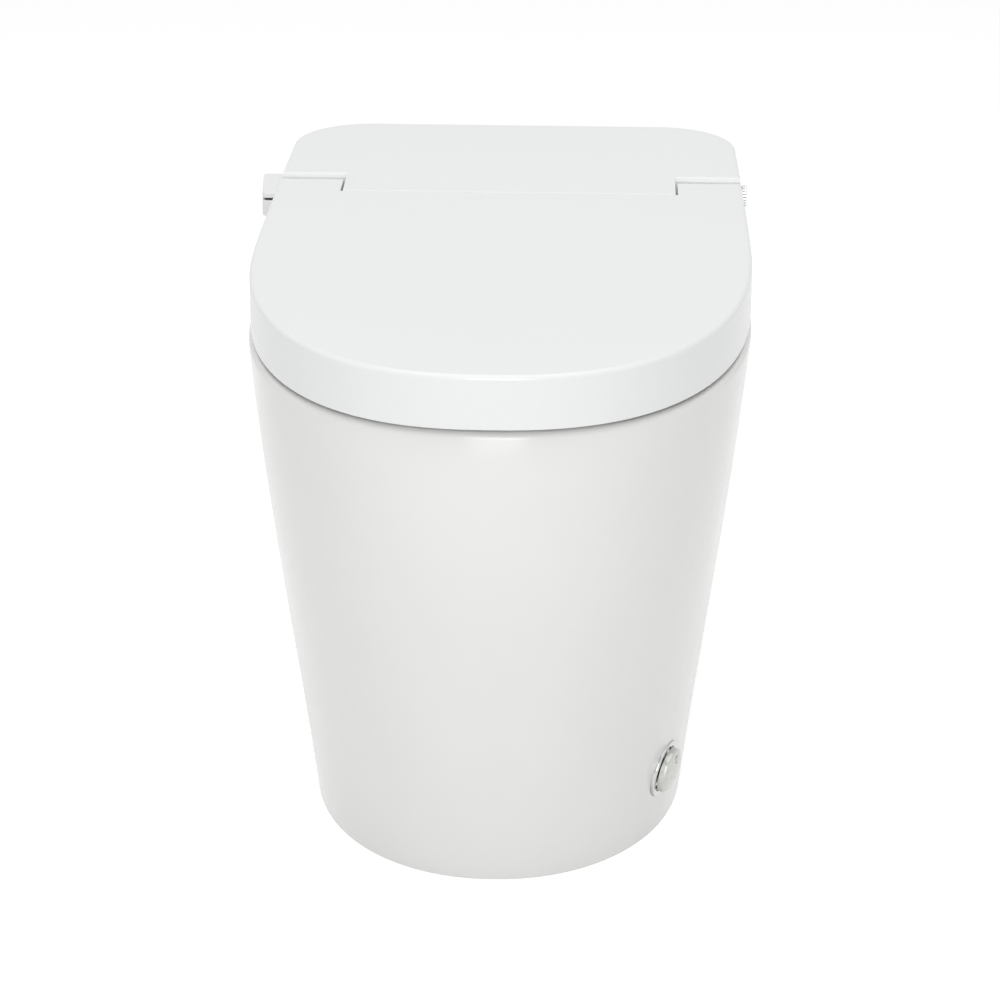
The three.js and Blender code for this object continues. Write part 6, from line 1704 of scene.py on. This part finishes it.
@dataclass(frozen=True)
class FootButton:
    """The foot button on the right flank: ring, dome and lens, with heights from the glaze outward."""

    z: float = 0.060
    y: float = -0.187
    fine: float = 0.0003
    ring_radius: float = 0.0235
    ring_proud: float = 0.0014
    ring_round: float = 0.0014
    seat_depth: float = 0.0033
    well_depth: float = 0.0015
    bore_radius: float = 0.0192
    bore_round: float = 0.001
    dome_radius: float = 0.0186
    dome_bottom: float = 0.0018
    dome_rim: float = 0.0060
    crown: float = 0.0036
    barrel_radius: float = 0.012
    barrel_length: float = 0.022
    stem_radius: float = 0.004
    stem_bottom: float = -0.0283
    pocket_radius: float = 0.009
    pocket_depth: float = 0.014
    lens_radius: float = 0.003
    lens_offset: float = 0.0115
    lens_proud: float = 0.0005
    lens_depth: float = 0.0019

    @property
    def lens_seat(self) -> float:
        """Height of the dome's crown under the lens, on its ellipse."""
        return self.dome_rim + self.crown * math.sqrt(1 - (self.lens_offset / self.dome_radius) ** 2)

    def build(self, place: Matrix) -> None:
        """Builds the three pieces.

        Args:
            place: where the button sits, square to the glaze.
        """
        lens_place = place @ Matrix.Translation((0, self.lens_offset, 0))
        self._ring(place)
        self._dome(place, lens_place)
        self._lens(lens_place)

    def _ring(self, place: Matrix) -> None:
        """Builds the ring with its barrel.

        Args:
            place: where the button sits.
        """
        bore = self.stem_radius + self.fine
        outer_edge = [
            (self.ring_radius - inward, self.ring_proud - self.ring_round + rise)
            for inward, rise in quarter_round(self.ring_round)
        ]
        inner_edge = [
            (self.bore_radius + inward, self.ring_proud - self.bore_round + rise)
            for inward, rise in quarter_round(self.bore_round)
        ]
        profile = [
            (self.barrel_radius, -self.seat_depth - self.barrel_length + self.fine),
            (self.barrel_radius, -self.seat_depth),
            (self.ring_radius - self.fine, -self.seat_depth),
            (self.ring_radius, -self.seat_depth + self.fine),
            *outer_edge,
            *inner_edge[::-1],
            (self.bore_radius, -self.well_depth),
            (bore, -self.well_depth),
        ]
        ring = turned("foot_ring", profile, place)
        pocket = [(self.pocket_radius, -self.well_depth - self.pocket_depth), (self.pocket_radius, 0.0)]
        cutters = [
            turned("foot_bore", [(bore, -FAR), (bore, FAR)], place),
            turned("spring_pocket", pocket, place),
        ]
        combine(ring, Carve.CUT, cutters)
        shade_turned(ring)
        finish_piece(ring, Slot.CHROME, Body.BASE, "kick_button_ring")

    def _dome(self, place: Matrix, lens_place: Matrix) -> None:
        """Builds the dome with its stem; its crown is half an ellipse from the side.

        Args:
            place: where the button sits.
            lens_place: where the lens sits in it.
        """
        profile = [
            (self.stem_radius, self.stem_bottom),
            (self.stem_radius, self.dome_bottom),
            (self.dome_radius - self.fine, self.dome_bottom),
            (self.dome_radius, self.dome_bottom + self.fine),
            *half_ellipse(self.dome_radius, self.dome_rim, self.crown),
        ]
        dome = turned("foot_dome", profile, place)
        hole = self.lens_radius + self.fine
        bottom = self.lens_seat - self.lens_depth - self.fine
        combine(dome, Carve.CUT, [turned("lens_pocket", [(hole, bottom), (hole, FAR)], lens_place)])
        shade_turned(dome)
        finish_piece(dome, Slot.SATIN_METAL, Body.FOOT_BUTTON, "kick_button_dome")

    def _lens(self, lens_place: Matrix) -> None:
        """Builds the indicator lens, a low dome.

        Args:
            lens_place: where it sits.
        """
        seat = self.lens_seat
        bulge = half_ellipse(self.lens_radius, seat, self.lens_proud)
        lens = turned("foot_lens", [(self.lens_radius, seat - self.lens_depth), *bulge], lens_place)
        shade_turned(lens)
        finish_piece(lens, Slot.LENS, Body.FOOT_BUTTON, "kick_button_lens")


# Studio


@dataclass(frozen=True)
class Lamp:
    """A square area lamp that looks at a point.

    Args:
        name: the lamp's name.
        place: where it stands.
        target: what it looks at.
        size: its width and height.
        power: its power in watts.
    """

    name: str
    place: Point
    target: Point
    size: Pair
    power: float

    def build(self) -> None:
        """Adds the lamp to the scene."""
        data = bpy.data.lights.new(self.name, "AREA")
        data.shape = "RECTANGLE"
        data.size, data.size_y = self.size
        data.energy = self.power
        lamp = bpy.data.objects.new(self.name, data)
        bpy.context.scene.collection.objects.link(lamp)
        lamp.location = self.place
        toward = Vector(self.target) - Vector(self.place)
        lamp.rotation_euler = toward.to_track_quat("-Z", "Y").to_euler()


LAMPS = (
    Lamp("overhead", place=(0.0, -0.3, 2.6), target=(0.0, 0.0, 0.3), size=(2.2, 2.2), power=18.0),
    Lamp("front", place=(0.1, -3.4, 1.3), target=(0.0, 0.0, 0.25), size=(0.9, 2.0), power=31.0),
    Lamp("left", place=(-2.4, -1.6, 1.4), target=(0.0, 0.0, 0.25), size=(1.0, 1.8), power=1.5),
)


@dataclass(frozen=True)
class Studio:
    """Floor, backdrop, lamps and camera.

    Args:
        lens_mm: focal length.
        sensor_mm: width of the sensor.
        camera: where the camera stands.
        target: what it looks at.
        roll_degrees: how far its right side is lifted.
        view_distance: how far it sees.
        world_strength: light from all round.
        floor_half: half the floor's width.
        floor_shade: how much light the floor gives back.
        floor_glow: what lifts the floor to white where it is seen.
        lamps: the lamps.
    """

    lens_mm: float = 121.68
    sensor_mm: float = 36.0
    camera: Point = (0.08610, -2.63138, 1.25487)
    target: Point = (-0.00253, 0.0, 0.21491)
    roll_degrees: float = 0.186
    view_distance: float = 50.0
    world_strength: float = 0.54
    floor_half: float = 6.0
    floor_shade: float = 0.86
    floor_glow: float = 0.46
    lamps: Tuple[Lamp, ...] = LAMPS

    def build(self) -> None:
        """Builds the whole studio."""
        self._floor()
        self._world()
        for lamp in self.lamps:
            lamp.build()
        self._camera()
        bpy.context.scene.view_settings.view_transform = "Standard"

    def _floor(self) -> None:
        """Builds a wide white floor: rays that see it add to its shade, so it is white but for the shadow."""
        half = self.floor_half
        corners = np.array([[-half, -half, 0], [half, -half, 0], [half, half, 0], [-half, half, 0]])
        floor = new_object("studio_floor", corners, [[0, 1, 2, 3]])
        graph = Graph("studio_floor")
        shade = graph.node("ShaderNodeBsdfDiffuse", {"Color": (self.floor_shade,) * 3 + (1.0,)})
        glow = graph.node("ShaderNodeEmission", {"Strength": self.floor_glow})
        both = graph.node("ShaderNodeAddShader", {0: shade.outputs[0], 1: glow.outputs[0]})
        blend = {0: graph.seen_rays(), 1: shade.outputs[0], 2: both.outputs[0]}
        mixed = graph.node("ShaderNodeMixShader", blend)
        graph.node("ShaderNodeOutputMaterial", {"Surface": mixed.outputs[0]})
        floor.data.materials.append(graph.material)

    def _world(self) -> None:
        """Builds even light from all round, plain white where the camera or a reflection sees it."""
        world = bpy.data.worlds.new("studio_world")
        world.use_nodes = True
        world.node_tree.nodes.clear()
        graph = Graph(world.name, world.node_tree)
        white = (1.0, 1.0, 1.0, 1.0)
        even = graph.node("ShaderNodeBackground", {"Color": white, "Strength": self.world_strength})
        plain = graph.node("ShaderNodeBackground", {"Color": white, "Strength": 1.0})
        blend = {0: graph.seen_rays(), 1: even.outputs[0], 2: plain.outputs[0]}
        mixed = graph.node("ShaderNodeMixShader", blend)
        graph.node("ShaderNodeOutputWorld", {"Surface": mixed.outputs[0]})
        bpy.context.scene.world = world

    def _camera(self) -> None:
        """Sets the photograph's camera: axes from its place, its target and its roll."""
        data = bpy.data.cameras.new("camera")
        data.sensor_width = self.sensor_mm
        data.lens = self.lens_mm
        data.clip_end = self.view_distance
        camera = bpy.data.objects.new("camera", data)
        bpy.context.scene.collection.objects.link(camera)
        forward = (Vector(self.target) - Vector(self.camera)).normalized()
        right = forward.cross(Vector(UP)).normalized()
        up = right.cross(forward)
        roll = math.radians(self.roll_degrees)
        tilted_right = right * math.cos(roll) + up * math.sin(roll)
        tilted_up = up * math.cos(roll) - right * math.sin(roll)
        turn = Matrix((tilted_right, tilted_up, -forward)).transposed().to_4x4()
        camera.matrix_world = Matrix.Translation(Vector(self.camera)) @ turn
        bpy.context.scene.camera = camera


def main() -> None:
    """Builds the visible pieces, paints the rest and sets the studio."""
    logging.basicConfig(level=logging.INFO, format="%(name)s: %(message)s")
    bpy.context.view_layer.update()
    paint_solids()
    body, shell, button = GlazedBody(), TopShell(), FootButton()
    key_box, knob = KeyBox(shell), WaterKnob()
    button_place = body.square_to_glaze(button.y, button.z)
    body.build(button_place)
    SeatRing(shell).build()
    Lid(shell).build()
    RearCover(shell).build(key_box, knob)
    key_box.build()
    knob.build()
    button.build(button_place)
    Studio().build()


if __name__ == "__main__":
    main()
